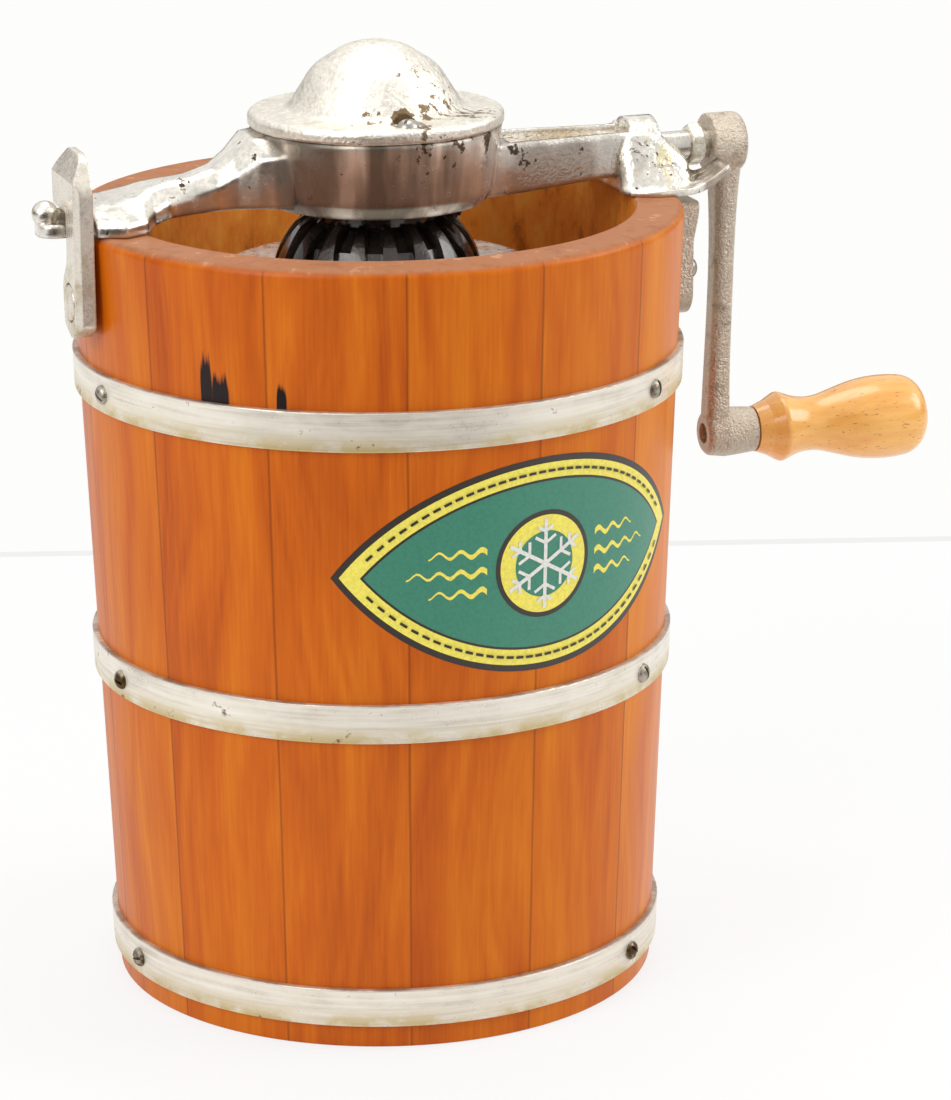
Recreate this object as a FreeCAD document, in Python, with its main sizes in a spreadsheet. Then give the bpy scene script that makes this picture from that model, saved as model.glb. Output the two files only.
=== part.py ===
import FreeCAD, Part
import math
import os
import re

import Sketcher
from FreeCAD import Placement, Rotation, Vector

# Hand crank ice cream freezer: a coopered tub, a tinned can that turns in it, a dasher that turns the
# other way in the can, and a cast gear frame across the rim with the crank.
# Millimetres. The origin is the centre of the tub's base, +Z is up, +X points to the crank,
# and the front of the tub is towards -Y.

doc = FreeCAD.newDocument("ice_cream_freezer")
sheet = doc.addObject("Spreadsheet::Sheet", "sizes")

SIZES = {
    # tub
    "tub_height": 258,
    "tub_top_radius": 100,
    "tub_base_radius": 90,
    "stave_count": 14,
    "stave_thickness": 16,
    "rim_outer_rounding": 3,
    "rim_inner_rounding": 1.2,
    "board_thickness": 13,
    "board_height": 9,
    "croze_depth": 3,
    "drain_hole_radius": 6,
    "drain_hole_height": 168,
    # hoops
    "hoop_width": 12.7,
    "hoop_thickness": 1.9,
    "top_hoop_height": 200.9,
    "middle_hoop_height": 105.1,
    "bottom_hoop_height": 7.9,
    "screw_head_radius": 2.8,
    "screw_head_height": 1.9,
    "screw_shank_radius": 1.35,
    "screw_hole_radius": 1.4,
    "screw_length": 13,
    # ear that holds the frame's crank end
    "ear_width": 25,
    "ear_bottom": 214,
    "ear_top": 253,
    "ear_face": 106.2,
    "ear_top_face": 108.5,
    "ear_screw_height": 230,
    "ear_screw_radius": 1.9,
    "ear_hole_radius": 1.95,
    "ear_head_radius": 3.8,
    # latch
    "latch_thickness": 6,
    "latch_face": 99.9,
    "latch_standoff": 1.3,
    "latch_pivot_height": 236,
    "latch_pivot_side": -10,
    "latch_screw_radius": 3.5,
    "latch_screw_head": 6,
    "latch_seat_radius": 6.35,
    "latch_seat_depth": 2,
    # gear frame
    "shaft_height": 270,
    "housing_radius": 41,
    "housing_inner_radius": 36.5,
    "housing_mouth_radius": 34,
    "housing_bottom": 260,
    "housing_top": 285,
    "foot_outer": 98.5,
    "tongue_end": 113.6,
    "tongue_half_width": 6.8,
    "tongue_bottom": 256.2,
    "tongue_bar": 260.4,
    "tongue_top": 264.4,
    "knob_station": 110.6,
    "knob_height": 263,
    "knob_radius": 4.3,
    "lug_radius": 5,
    "pinion_room_radius": 22.9,
    "pinion_room_length": 11.7,
    "hub_room_radius": 9.4,
    "rail_top": 277.2,
    "trough_floor": 264.6,
    "bearing_radius": 11,
    "bearing_inner": 85,
    "bearing_outer": 95.5,
    "plate_half_width": 24,
    "plate_thickness": 2,
    "lip_end": 116.4,
    "lip_notch": 107.6,
    "lip_notch_half": 10.6,
    # gear cover
    "cover_radius": 41.6,
    "cover_edge": 4.6,
    "cover_top": 312,
    "cover_wall": 2.6,
    "dome_foot": 28.8,
    "dome_foot_height": 290.4,
    "cover_screw_offset": 32.8,
    "cover_recess_radius": 5.4,
    "cover_recess_floor": 4,
    "cover_boss_radius": 5.8,
    "cover_screw_hole": 1.75,
    # gears: a straight bevel pinion between two equal wheels
    "wheel_teeth": 18,
    "pinion_teeth": 13,
    "tooth_module": 3.2,
    "tooth_addendum": 1.7,
    "tooth_dedendum": 2.3,
    "tooth_thinning": 0.12,
    "toe_scale": 0.745,
    "top_wheel_scale": 0.88,
    # crank
    "shaft_radius": 4.75,
    "shaft_running_gap": 0.06,
    "crank_throw": 100,
    "boss_inner": 115.2,
    "boss_outer": 127.4,
    "boss_radius": 10,
    "nut_inner": 108.6,
    "nut_outer": 113,
    "nut_corner": 7.1,
    "arm_half_width": 5,
    "arm_thickness": 7.2,
    "eye_inner": 115.4,
    "eye_radius": 7.4,
    "spindle_radius": 3.5,
    "collar_end": 133.4,
    "grip_length": 62.5,
    # can
    "can_radius": 50,
    "can_wall": 1,
    "can_floor": 32,
    "can_top": 236,
    "lid_radius": 51.6,
    "lid_skirt": 12,
    "pivot_radius": 4.95,
    "socket_radius": 5,
    "step_screw_circle": 15.5,
    # dasher
    "stem_radius": 5,
    "dasher_bar_offset": 27,
    "scraper_radius": 48.3,
}
for row, (alias, value) in enumerate(SIZES.items(), 1):
    sheet.set(f"A{row}", alias)
    sheet.set(f"B{row}", str(value))
    sheet.setAlias(f"B{row}", alias)
doc.recompute()

NODES = []


def cells(text):
    """An expression in size names, with the sheet's own name put before each of them."""
    return re.sub(r"[a-z]+(_[a-z]+)+", lambda found: "sizes." + found.group(), str(text))


def size(text):
    """The value of an expression in size names."""
    return float(sheet.evalExpression(cells(text)))


def node(thing):
    """Marks a finished sub-part, whose label names its file."""
    NODES.append(thing)
    return thing


def new_body(name):
    return doc.addObject("PartDesign::Body", name)


def plane(owner, role):
    return next(item for item in owner.Origin.OriginFeatures if item.Role == role)


def new_sketch(owner, name, role, offset="0"):
    sketch = owner.newObject("Sketcher::SketchObject", name)
    sketch.AttachmentSupport = [(plane(owner, role), "")]
    sketch.MapMode = "FlatFace"
    sketch.setExpression("AttachmentOffset.Base.z", cells(offset))
    return sketch


def pin_point(sketch, geometry, end, across, up):
    """Holds a point of a sketch at a place given in size names."""
    for kind, text in (("DistanceX", across), ("DistanceY", up)):
        index = sketch.addConstraint(
            Sketcher.Constraint(kind, -1, 1, geometry, end, size(text)))
        sketch.setExpression(f"Constraints[{index}]", cells(text))


def outline(owner, name, role, corners, offset="0"):
    """A closed sketch of straight sides. A corner is (across, up) or (across, up, rounding)."""
    sketch = new_sketch(owner, name, role, offset)
    count = len(corners)
    points = [Vector(size(corner[0]), size(corner[1]), 0) for corner in corners]
    arrive, leave, rounds = [], [], []
    for index, corner in enumerate(corners):
        here = points[index]
        if len(corner) == 2:
            arrive.append(here)
            leave.append(here)
            rounds.append(None)
            continue
        back = (points[index - 1] - here).normalize()
        ahead = (points[(index + 1) % count] - here).normalize()
        radius = size(corner[2])
        half = back.getAngle(ahead) / 2
        reach = radius / math.tan(half)
        centre = here + (back + ahead).normalize() * (radius / math.sin(half))
        arrive.append(here + back * reach)
        leave.append(here + ahead * reach)
        rounds.append((centre, radius, back.cross(ahead).z < 0))
    sides = []
    for index in range(count):
        line = Part.LineSegment(leave[index], arrive[(index + 1) % count])
        sides.append(sketch.addGeometry(line, False))
    for index, corner in enumerate(corners):
        before, after = sides[index - 1], sides[index]
        if rounds[index] is None:
            sketch.addConstraint(Sketcher.Constraint("Coincident", before, 2, after, 1))
            pin_point(sketch, after, 1, corner[0], corner[1])
            continue
        centre, radius, left_turn = rounds[index]
        ends = [arrive[index], leave[index]]
        if not left_turn:
            ends.reverse()
        angles = [math.atan2(end.y - centre.y, end.x - centre.x) for end in ends]
        circle = Part.Circle(centre, Vector(0, 0, 1), radius)
        arc = sketch.addGeometry(Part.ArcOfCircle(circle, *angles), False)
        first, last = (1, 2) if left_turn else (2, 1)
        sketch.addConstraint(Sketcher.Constraint("Tangent", before, 2, arc, first))
        sketch.addConstraint(Sketcher.Constraint("Tangent", arc, last, after, 1))
        bend = sketch.addConstraint(Sketcher.Constraint("Radius", arc, radius))
        sketch.setExpression(f"Constraints[{bend}]", cells(corner[2]))
        mark = sketch.addGeometry(Part.Point(points[index]), True)
        sketch.addConstraint(Sketcher.Constraint("PointOnObject", mark, 1, before))
        sketch.addConstraint(Sketcher.Constraint("PointOnObject", mark, 1, after))
        pin_point(sketch, mark, 1, corner[0], corner[1])
    return sketch


def disc(owner, name, role, across, up, radius, offset="0"):
    """A sketch of one circle."""
    sketch = new_sketch(owner, name, role, offset)
    centre = Vector(size(across), size(up), 0)
    ring = sketch.addGeometry(Part.Circle(centre, Vector(0, 0, 1), size(radius)), False)
    bend = sketch.addConstraint(Sketcher.Constraint("Radius", ring, size(radius)))
    sketch.setExpression(f"Constraints[{bend}]", cells(radius))
    pin_point(sketch, ring, 3, across, up)
    return sketch


def revolve(owner, sketch, axis="V_Axis", angle="360"):
    """Turns a sketch about its upright or level axis, half of the angle to each side."""
    feature = owner.newObject("PartDesign::Revolution", sketch.Name + "_turned")
    feature.Profile = sketch
    feature.ReferenceAxis = (sketch, [axis])
    feature.setExpression("Angle", cells(angle))
    feature.Midplane = angle != "360"
    return feature


def groove(owner, sketch, axis="V_Axis"):
    feature = owner.newObject("PartDesign::Groove", sketch.Name + "_cut")
    feature.Profile = sketch
    feature.ReferenceAxis = (sketch, [axis])
    feature.Angle = 360
    return feature


def pad(owner, sketch, length, symmetric=True):
    feature = owner.newObject("PartDesign::Pad", sketch.Name + "_pad")
    feature.Profile = sketch
    feature.SideType = "Symmetric" if symmetric else "One side"
    feature.setExpression("Length", cells(length))
    return feature


def pocket(owner, sketch, length):
    """Cuts a sketch through the body, half of the length to each side of its plane."""
    feature = owner.newObject("PartDesign::Pocket", sketch.Name + "_pocket")
    feature.Profile = sketch
    feature.SideType = "Symmetric"
    feature.setExpression("Length", cells(length))
    return feature


def drill(owner, name, radius, length, start, direction):
    """A round hole in a body from a start point, given as vectors in the body's frame."""
    feature = owner.newObject("PartDesign::SubtractiveCylinder", name)
    feature.setExpression("Radius", cells(radius))
    feature.setExpression("Height", cells(length))
    feature.Placement = Placement(start, Rotation(Vector(0, 0, 1), direction))
    return feature


def loft(owner, sections, ruled=False):
    feature = owner.newObject("PartDesign::AdditiveLoft", sections[0].Name + "_loft")
    feature.Profile = sections[0]
    feature.Sections = sections[1:]
    feature.Ruled = ruled
    return feature


def shape_node(name, shape):
    """A sub-part whose shape is worked out here from the sheet's sizes."""
    feature = doc.addObject("Part::Feature", name)
    feature.Shape = shape
    return feature


def joined(name, parts, cuts=()):
    """Fuses parts into one casting and takes the cuts away from it."""
    whole = parts[0]
    if len(parts) > 1:
        whole = doc.addObject("Part::MultiFuse", name + "_solid" if cuts else name)
        whole.Shapes = list(parts)
    if not cuts:
        return whole
    hollows = cuts[0]
    if len(cuts) > 1:
        hollows = doc.addObject("Part::MultiFuse", name + "_hollows")
        hollows.Shapes = list(cuts)
    result = doc.addObject("Part::Cut", name)
    result.Base = whole
    result.Tool = hollows
    return result


def outward(angle):
    """The level direction at an angle from +X."""
    return Vector(math.cos(math.radians(angle)), math.sin(math.radians(angle)), 0)


def tub_radius(height):
    """The tub's outer radius at a height, as text in size names."""
    return f"(tub_base_radius + (tub_top_radius - tub_base_radius) * ({height}) / tub_height)"


# Fasteners: one turned screw is drawn and copied to each place

def round_head_screw(head_radius, head_height, shank_radius, length):
    """A round head wood screw along Z: the head stands above zero, and the shank tapers to a point."""
    dome = Part.Arc(
        Vector(head_radius, 0, 0), Vector(head_radius * 0.66, 0, head_height * 0.74),
        Vector(0, 0, head_height)).toShape()
    path = [
        Vector(0, 0, head_height), Vector(0, 0, -length),
        Vector(shank_radius, 0, -length + 3 * shank_radius), Vector(shank_radius, 0, 0),
        Vector(head_radius, 0, 0)]
    sides = [Part.LineSegment(a, b).toShape() for a, b in zip(path, path[1:])]
    face = Part.Face(Part.Wire(Part.__sortEdges__([dome] + sides)))
    screw = face.revolve(Vector(0, 0, 0), Vector(0, 0, 1), 360)
    slot = Part.makeBox(2 * head_radius, head_radius * 0.26, head_height * 0.45,
                        Vector(-head_radius, -head_radius * 0.13, head_height * 0.62))
    return screw.cut(slot)


def placed(shape, point, direction, spin=0):
    """A copy of a Z-up shape at a point, pointing along a direction."""
    copy = shape.copy()
    turn = Rotation(Vector(0, 0, 1), direction).multiply(Rotation(Vector(0, 0, 1), spin))
    copy.Placement = Placement(point, turn)
    return copy


# Tub: tapered staves, their joints planed to the centre, with a croze groove for the board

HOOP_SCREW_ANGLES = (-169.5, -46.5, 72)
HOOPS = {
    "hoop_top": "top_hoop_height",
    "hoop_middle": "middle_hoop_height",
    "hoop_bottom": "bottom_hoop_height",
}
DRAIN_ANGLE = 90
EAR_SCREW_ANGLES = (-4.2, 4.2)
STEP_SCREW_ANGLES = (30, 150, 270)


def on_tub(angle, height, out=0.0):
    """A point on the tub's outer face, or that far outside it, at a height in size names."""
    return outward(angle) * (size(tub_radius(height)) + out) + Vector(0, 0, size(height))


def latch_screw_seat():
    """The point where the latch's screw enters the tub. The screw is parallel to X."""
    side = size("latch_pivot_side")
    reach = math.sqrt(size(tub_radius("latch_pivot_height")) ** 2 - side ** 2)
    return Vector(-reach, side, size("latch_pivot_height"))


def tub_holes():
    """Every hole in the tub's wall: the point where it starts, its direction, radius and depth."""
    holes = []
    for angle in HOOP_SCREW_ANGLES:
        for start in HOOPS.values():
            entry = on_tub(angle, f"({start} + hoop_width / 2)")
            holes.append((entry, outward(angle) * -1, "screw_hole_radius", 13.5))
    for angle in EAR_SCREW_ANGLES:
        holes.append((on_tub(angle, "ear_screw_height"), outward(angle) * -1, "ear_hole_radius", 14))
    holes.append((on_tub(DRAIN_ANGLE, "drain_hole_height"), outward(DRAIN_ANGLE) * -1,
                  "drain_hole_radius", 30))
    holes.append((latch_screw_seat(), Vector(1, 0, 0), "ear_hole_radius", 14))
    return holes


def wall(height, inset):
    """A stave's profile point: a distance in from the outer face, at a height."""
    return (f"{tub_radius(height)} - {inset}", height)


def stave_profile(owner):
    top_of_board = "board_height + board_thickness"
    return outline(owner, owner.Name + "_profile", "XZ_Plane", [
        wall("0", "stave_thickness"),
        wall("0", "0") + ("1",),
        wall("tub_height", "0") + ("rim_outer_rounding",),
        wall("tub_height", "stave_thickness") + ("rim_inner_rounding",),
        wall(top_of_board, "stave_thickness"),
        wall(top_of_board, "(stave_thickness - croze_depth)"),
        wall("board_height", "(stave_thickness - croze_depth)"),
        wall("board_height", "stave_thickness"),
    ])


def stave_angle(index):
    return -90 + index * 360 / size("stave_count")


def nearest_turn(angle):
    return (angle + 180) % 360 - 180


def make_stave(index):
    owner = new_body(f"stave_{index + 1:02d}")
    revolve(owner, stave_profile(owner), angle="360 / stave_count")
    middle = stave_angle(index)
    back = Rotation(Vector(0, 0, 1), -middle)
    for entry, direction, radius, depth in tub_holes():
        offset = nearest_turn(math.degrees(math.atan2(entry.y, entry.x)) - middle)
        if abs(offset) > 180 / size("stave_count"):
            continue
        start = back.multVec(entry - direction * 5)
        drill(owner, owner.Name + "_hole", radius, str(depth + 5), start, back.multVec(direction))
    owner.Placement = Placement(Vector(0, 0, 0), Rotation(Vector(0, 0, 1), middle))
    return node(owner)


for stave_index in range(int(size("stave_count"))):
    make_stave(stave_index)

tub_bottom = node(new_body("tub_bottom"))
board_radius = f"({tub_radius('board_height')} - stave_thickness + croze_depth - 0.2)"
revolve(tub_bottom, outline(tub_bottom, "board", "XZ_Plane", [
    ("0", "board_height + 0.1"), (board_radius, "board_height + 0.1", "0.8"),
    (board_radius, "board_height + board_thickness - 0.1", "0.8"),
    ("0", "board_height + board_thickness - 0.1")]))
for angle in STEP_SCREW_ANGLES:
    entry = outward(angle) * size("step_screw_circle") + Vector(0, 0, size("board_height + board_thickness"))
    drill(tub_bottom, "pilot", "screw_hole_radius", "11", entry, Vector(0, 0, -1))


# Hoops: flat strip rolled to the taper of the tub, each held by three round head screws

def make_hoop(name, start):
    owner = new_body(name)
    top = f"{start} + hoop_width"
    low, high = tub_radius(start), tub_radius(top)
    revolve(owner, outline(owner, name + "_strip", "XZ_Plane", [
        (low, start), (f"{low} + hoop_thickness", start, "0.5"),
        (f"{high} + hoop_thickness", top, "0.5"), (high, top)]))
    for angle in HOOP_SCREW_ANGLES:
        entry = on_tub(angle, f"({start} + hoop_width / 2)", out=6)
        drill(owner, name + "_hole", "screw_hole_radius", "10", entry, outward(angle) * -1)
    return node(owner)


def make_hoop_screws(name, start):
    middle = f"({start} + hoop_width / 2)"
    face = size("hoop_thickness") + 0.16
    screw = round_head_screw(size("screw_head_radius"), size("screw_head_height"),
                             size("screw_shank_radius"), size("screw_length"))
    screws = [
        placed(screw, on_tub(angle, middle, out=face), outward(angle), 35)
        for angle in HOOP_SCREW_ANGLES]
    return node(shape_node(name + "_screws", Part.makeCompound(screws)))


for hoop_name, hoop_start in HOOPS.items():
    make_hoop(hoop_name, hoop_start)
    make_hoop_screws(hoop_name, hoop_start)


# Ear: a cast lug screwed to the wall under the lip of the frame, hollowed to the tub's taper

ear_bracket = node(new_body("ear_bracket"))
pad(ear_bracket, outline(ear_bracket, "ear_face", "YZ_Plane", [
    ("-ear_width / 2", "ear_bottom", "9"), ("ear_width / 2", "ear_bottom", "9"),
    ("ear_width / 2", "ear_top", "2.5"), ("-ear_width / 2", "ear_top", "2.5")],
    offset="88"), "ear_top_face - 88", symmetric=False)
pocket(ear_bracket, outline(ear_bracket, "ear_flare", "XZ_Plane", [
    ("ear_face", "ear_bottom - 3"), ("ear_top_face + 3", "ear_bottom - 3"),
    ("ear_top_face + 3", "ear_top + 1"), ("ear_top_face", "ear_top + 1"),
    ("ear_top_face - 0.8", "ear_top - 6", "6"), ("ear_face", "ear_top - 13", "14")]), "ear_width + 2")
groove(ear_bracket, outline(ear_bracket, "ear_seat", "XZ_Plane", [
    ("0", "ear_bottom - 9"), (f"{tub_radius('ear_bottom - 9')} + 0.05", "ear_bottom - 9"),
    (f"{tub_radius('ear_top + 4')} + 0.05", "ear_top + 4"), ("0", "ear_top + 4")]))
for angle in EAR_SCREW_ANGLES:
    drill(ear_bracket, "ear_hole", "ear_hole_radius", "25",
          on_tub(angle, "ear_screw_height", out=20), outward(angle) * -1)

ear_screw = round_head_screw(size("ear_head_radius"), 2.4, size("ear_screw_radius"), 22)
node(shape_node("ear_screws", Part.makeCompound([
    placed(ear_screw, on_tub(angle, "ear_screw_height", out=8), outward(angle), 20)
    for angle in EAR_SCREW_ANGLES])))


# Latch: a flat lever on a shoulder screw, whose head hooks over the frame's tongue

latch_lever = node(new_body("latch_lever"))
pad(latch_lever, outline(latch_lever, "latch_side", "YZ_Plane", [
    ("-20", "229", "3"), ("-12", "224.6", "4"), ("-3", "228", "3"), ("-2", "241", "7"),
    ("-7.9", "249", "8"), ("-7.9", "tongue_top + 0.5", "1.5"), ("8", "tongue_top + 0.5", "1.5"),
    ("8.6", "277", "7"), ("2", "283.7", "4"), ("-13", "283.7", "7"), ("-20", "274", "8")],
    offset="-latch_face - latch_thickness"), "latch_thickness", symmetric=False)
drill(latch_lever, "latch_pivot", "latch_screw_radius + shaft_running_gap", "30",
      Vector(-size("latch_face") - 20, size("latch_pivot_side"), size("latch_pivot_height")),
      Vector(1, 0, 0))

pocket(latch_lever, disc(latch_lever, "latch_seat", "YZ_Plane", "latch_pivot_side", "latch_pivot_height",
                         "latch_seat_radius", offset="-latch_face - latch_thickness + latch_seat_depth"),
       "10").SideType = "One side"
pocket(latch_lever, outline(latch_lever, "front_bevel", "XY_Plane", [
    ("-latch_face - latch_thickness - 1", "-21"), ("-latch_face - latch_thickness + 1.8", "-21"),
    ("-latch_face - latch_thickness + 1.8", "-20"), ("-latch_face - latch_thickness", "-18.2"),
    ("-latch_face - latch_thickness - 1", "-18.2")], offset="255"), "120")
pocket(latch_lever, outline(latch_lever, "top_bevel", "XZ_Plane", [
    ("-latch_face - latch_thickness - 1", "284"), ("-latch_face - latch_thickness - 1", "275.6"),
    ("-latch_face - latch_thickness", "275.6"), ("-latch_face - 1.8", "284")]), "80")

latch_screw = node(new_body("latch_screw"))
seat = latch_screw_seat()
revolve(latch_screw, outline(latch_screw, "shoulder_screw", "XZ_Plane", [
    ("12", "0"), ("8", "ear_screw_radius"), ("-0.6", "ear_screw_radius"), ("-0.6", "latch_screw_radius"),
    ("-latch_standoff - latch_thickness + latch_seat_depth - 0.2", "latch_screw_radius"),
    ("-latch_standoff - latch_thickness + latch_seat_depth - 0.2", "latch_screw_head", "0.3"),
    ("-latch_standoff - latch_thickness - 0.3", "latch_screw_head - 0.3", "0.6"),
    ("-latch_standoff - latch_thickness - 0.9", "0")]),
    axis="H_Axis")
latch_screw.Placement = Placement(seat, Rotation())


# Gear frame: one casting of a round housing, a solid arm to the left foot and its tongue, and a
# trough shaped arm to the bearing, its saddle and the turned-up plate

def cross_section(owner, name, station, half_width, low, high, rounding):
    """A rounded section across the frame at a distance along X."""
    return outline(owner, name, "YZ_Plane", [
        (f"-{half_width}", str(low), "1.5"), (str(half_width), str(low), "1.5"),
        (str(half_width), str(high), str(rounding)), (f"-{half_width}", str(high), str(rounding))],
        offset=str(station))


def plan_section(owner, name, height, low_x, high_x, half_width, rounding):
    """A rounded rectangle in plan, at a height."""
    return outline(owner, name, "XY_Plane", [
        (str(low_x), f"-{half_width}", str(rounding)), (str(high_x), f"-{half_width}", str(rounding)),
        (str(high_x), str(half_width), str(rounding)), (str(low_x), str(half_width), str(rounding))],
        offset=str(height))


def crowned_section(owner, name, station, half_width, low, edge, crown, high):
    """A section across the frame: upright sides to an edge height, then a rounded crown."""
    return outline(owner, name, "YZ_Plane", [
        (f"-{half_width}", str(low), "1"), (str(half_width), str(low), "1"),
        (str(half_width), str(edge), "2.4"), (str(crown), str(high), "4"),
        (f"-{crown}", str(high), "4"), (f"-{half_width}", str(edge), "2.4")],
        offset=str(station))


housing = new_body("frame_housing")
revolve(housing, outline(housing, "housing_side", "XZ_Plane", [
    ("0", "housing_bottom"), ("housing_mouth_radius + 1.5", "housing_bottom", "1"),
    ("housing_inner_radius + 2.2", "housing_bottom + 5", "7"),
    ("housing_radius", "housing_top", "0.6"),
    ("0", "housing_top")]))

# station, half width, low, edge height, half width of the crown, its height
LEFT_ARM = (
    ("-foot_outer", 19.5, "tub_height + 0.05", 262.3, 9, 266.2),
    (-90, 23.5, "tub_height + 0.05", 262.6, 9, 267),
    (-82, 19.5, "tub_height + 0.05", 262.8, 8.5, 268.6),
    (-78, 13, 259.2, 263.6, 7, 270.2),
    (-72, 9.6, 260.3, 265.6, 4.8, 271.4),
    (-64, 8.8, 260.9, 267, 4.5, 272.3),
    (-56, 9.2, 261.4, 269.4, 4.6, 274.8),
    (-50, 11, 262, 273, 5.8, 279),
    (-44, 15, 262.4, 278, 9, 284),
    (-34, 20, 262.4, 280, 12, 284.8),
)
left_arm = new_body("frame_left_arm")
loft(left_arm, [
    crowned_section(left_arm, f"arm_{index}", *values)
    for index, values in enumerate(LEFT_ARM)], ruled=True)

tongue = new_body("frame_tongue")
pad(tongue, outline(tongue, "tongue_plan", "XY_Plane", [
    ("-foot_outer + 5", "-tongue_half_width"), ("-foot_outer + 5", "tongue_half_width"),
    ("-tongue_end", "tongue_half_width", "5.6"), ("-tongue_end", "-tongue_half_width", "5.6")],
    offset="tongue_bottom"), "tongue_bar - tongue_bottom", symmetric=False)
pocket(tongue, outline(tongue, "tongue_rest", "XZ_Plane", [
    ("-foot_outer - 3", "tongue_bottom - 1"), ("-foot_outer - 3", "tub_height + 0.05"),
    ("-foot_outer + 6", "tub_height + 0.05"), ("-foot_outer + 6", "tongue_bottom - 1")]), "40")

tongue_bar = new_body("frame_tongue_bar")
pad(tongue_bar, outline(tongue_bar, "bar_end", "YZ_Plane", [
    ("-2.6", "tongue_bar - 2"), ("2.6", "tongue_bar - 2"), ("2.6", "tongue_top - 1.3"),
    ("1.3", "tongue_top"), ("-1.3", "tongue_top"), ("-2.6", "tongue_top - 1.3")],
    offset="-knob_station"), "knob_station - foot_outer + 4", symmetric=False)

tongue_knob = doc.addObject("Part::Sphere", "frame_tongue_knob")
tongue_knob.setExpression("Radius", cells("knob_radius"))
tongue_knob.setExpression("Placement.Base.x", cells("-knob_station"))
tongue_knob.setExpression("Placement.Base.z", cells("knob_height"))

right_arm = new_body("frame_right_arm")
loft(right_arm, [
    cross_section(right_arm, f"rail_{index}", station, half_width, low, "rail_top", 1.5)
    for index, (station, half_width, low) in enumerate([
        (33, 15, 260.3), (50, 12.8, 260.9), (66, 11, 262), (86, 9.6, 263)])])

trough = new_body("frame_trough")
loft(trough, [
    cross_section(trough, f"trough_{index}", station, half_width, "trough_floor", "rail_top + 9", 1)
    for index, (station, half_width) in enumerate([(42.5, 10.4), (52, 9.4), (66, 7.9), (86, 6.4)])])

bearing = new_body("frame_bearing")
pad(bearing, disc(bearing, "bearing_face", "YZ_Plane", "0", "shaft_height", "bearing_radius",
                  offset="bearing_inner"), "bearing_outer - bearing_inner", symmetric=False)

saddle = new_body("frame_saddle")
loft(saddle, [
    plan_section(saddle, f"saddle_{index}", height, low_x, high_x, half_width, 5)
    for index, (height, low_x, high_x, half_width) in enumerate([
        ("tub_height + 0.8", 79, 104, 20.5), ("tub_height + 5", 80, 104.5, 17),
        ("tub_height + 10", 80.5, 104, 14), ("tub_height + 15", 81, 99.5, 12),
        ("tub_height + 19", 82, 95, 10.6)])])

plate_side = new_body("frame_plate_side")
pad(plate_side, outline(plate_side, "scoop_side", "XZ_Plane", [
    ("81", "tub_height + 0.05"), ("103.5", "tub_height + 0.05", "18"), ("lip_end", "tub_height + 7.3"),
    ("lip_end - 1.2", "tub_height + 9.2"), ("102.8", "tub_height + plate_thickness", "16"),
    ("81", "tub_height + plate_thickness")]), "60")
plate_plan = new_body("frame_plate_plan")
pad(plate_plan, outline(plate_plan, "scoop_plan", "XY_Plane", [
    ("80", "-plate_half_width + 5", "3"), ("88", "-plate_half_width", "8"),
    ("109", "-plate_half_width", "8"), ("lip_end", "-plate_half_width + 1.4", "5"),
    ("lip_end", "plate_half_width - 1.4", "5"), ("109", "plate_half_width", "8"),
    ("88", "plate_half_width", "8"), ("80", "plate_half_width - 5", "3")],
    offset="tub_height - 5"), "30", symmetric=False)
frame_plate = doc.addObject("Part::MultiCommon", "frame_plate")
frame_plate.Shapes = [plate_side, plate_plan]

cavity = new_body("frame_cavity")
revolve(cavity, outline(cavity, "cavity_side", "XZ_Plane", [
    ("0", "housing_bottom - 3"), ("housing_mouth_radius", "housing_bottom - 3"),
    ("housing_mouth_radius", "housing_bottom + 2.5"), ("housing_inner_radius", "housing_bottom + 6"),
    ("housing_inner_radius", "housing_top + 2"), ("0", "housing_top + 2")]))
for side in ("cover_screw_offset", "-cover_screw_offset"):
    lug = disc(cavity, "lug", "XY_Plane", "0", side, "lug_radius", offset="housing_top - 14")
    cut = pocket(cavity, lug, "20")
    cut.SideType = "One side"
    cut.Reversed = True

shaft_hole = new_body("frame_shaft_hole")
pad(shaft_hole, disc(shaft_hole, "shaft_hole_face", "YZ_Plane", "0", "shaft_height",
                     "shaft_radius + shaft_running_gap", offset="30"), "80", symmetric=False)

pinion_room = new_body("frame_pinion_room")
pad(pinion_room, disc(pinion_room, "pinion_room_face", "YZ_Plane", "0", "shaft_height",
                      "pinion_room_radius", offset="20"), "pinion_room_length", symmetric=False)
hub_room = new_body("frame_hub_room")
pad(hub_room, disc(hub_room, "hub_room_face", "YZ_Plane", "0", "shaft_height",
                   "hub_room_radius", offset="28"), "7.2", symmetric=False)

notch = new_body("frame_notch")
pad(notch, outline(notch, "notch_plan", "XY_Plane", [
    ("lip_notch", "-lip_notch_half", "4"), ("lip_end + 3", "-lip_notch_half"),
    ("lip_end + 3", "lip_notch_half"), ("lip_notch", "lip_notch_half", "4")],
    offset="tub_height - 5"), "30", symmetric=False)

cover_holes = []
for index, side in enumerate(("cover_screw_offset", "-cover_screw_offset")):
    hole = new_body(f"cover_screw_hole_{index}")
    pad(hole, disc(hole, "cover_hole", "XY_Plane", "0", side, "cover_screw_hole",
                   offset="housing_top - 11"), "30", symmetric=False)
    cover_holes.append(hole)

frame_parts = [housing, left_arm, tongue, tongue_bar, tongue_knob, right_arm, bearing, saddle, frame_plate]
frame_cuts = [cavity, pinion_room, hub_room, trough, shaft_hole, notch] + cover_holes
node(joined("gear_frame", frame_parts, frame_cuts))


# Gear cover: a domed cap on the housing, its two screws in pockets at the foot of the dome

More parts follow.
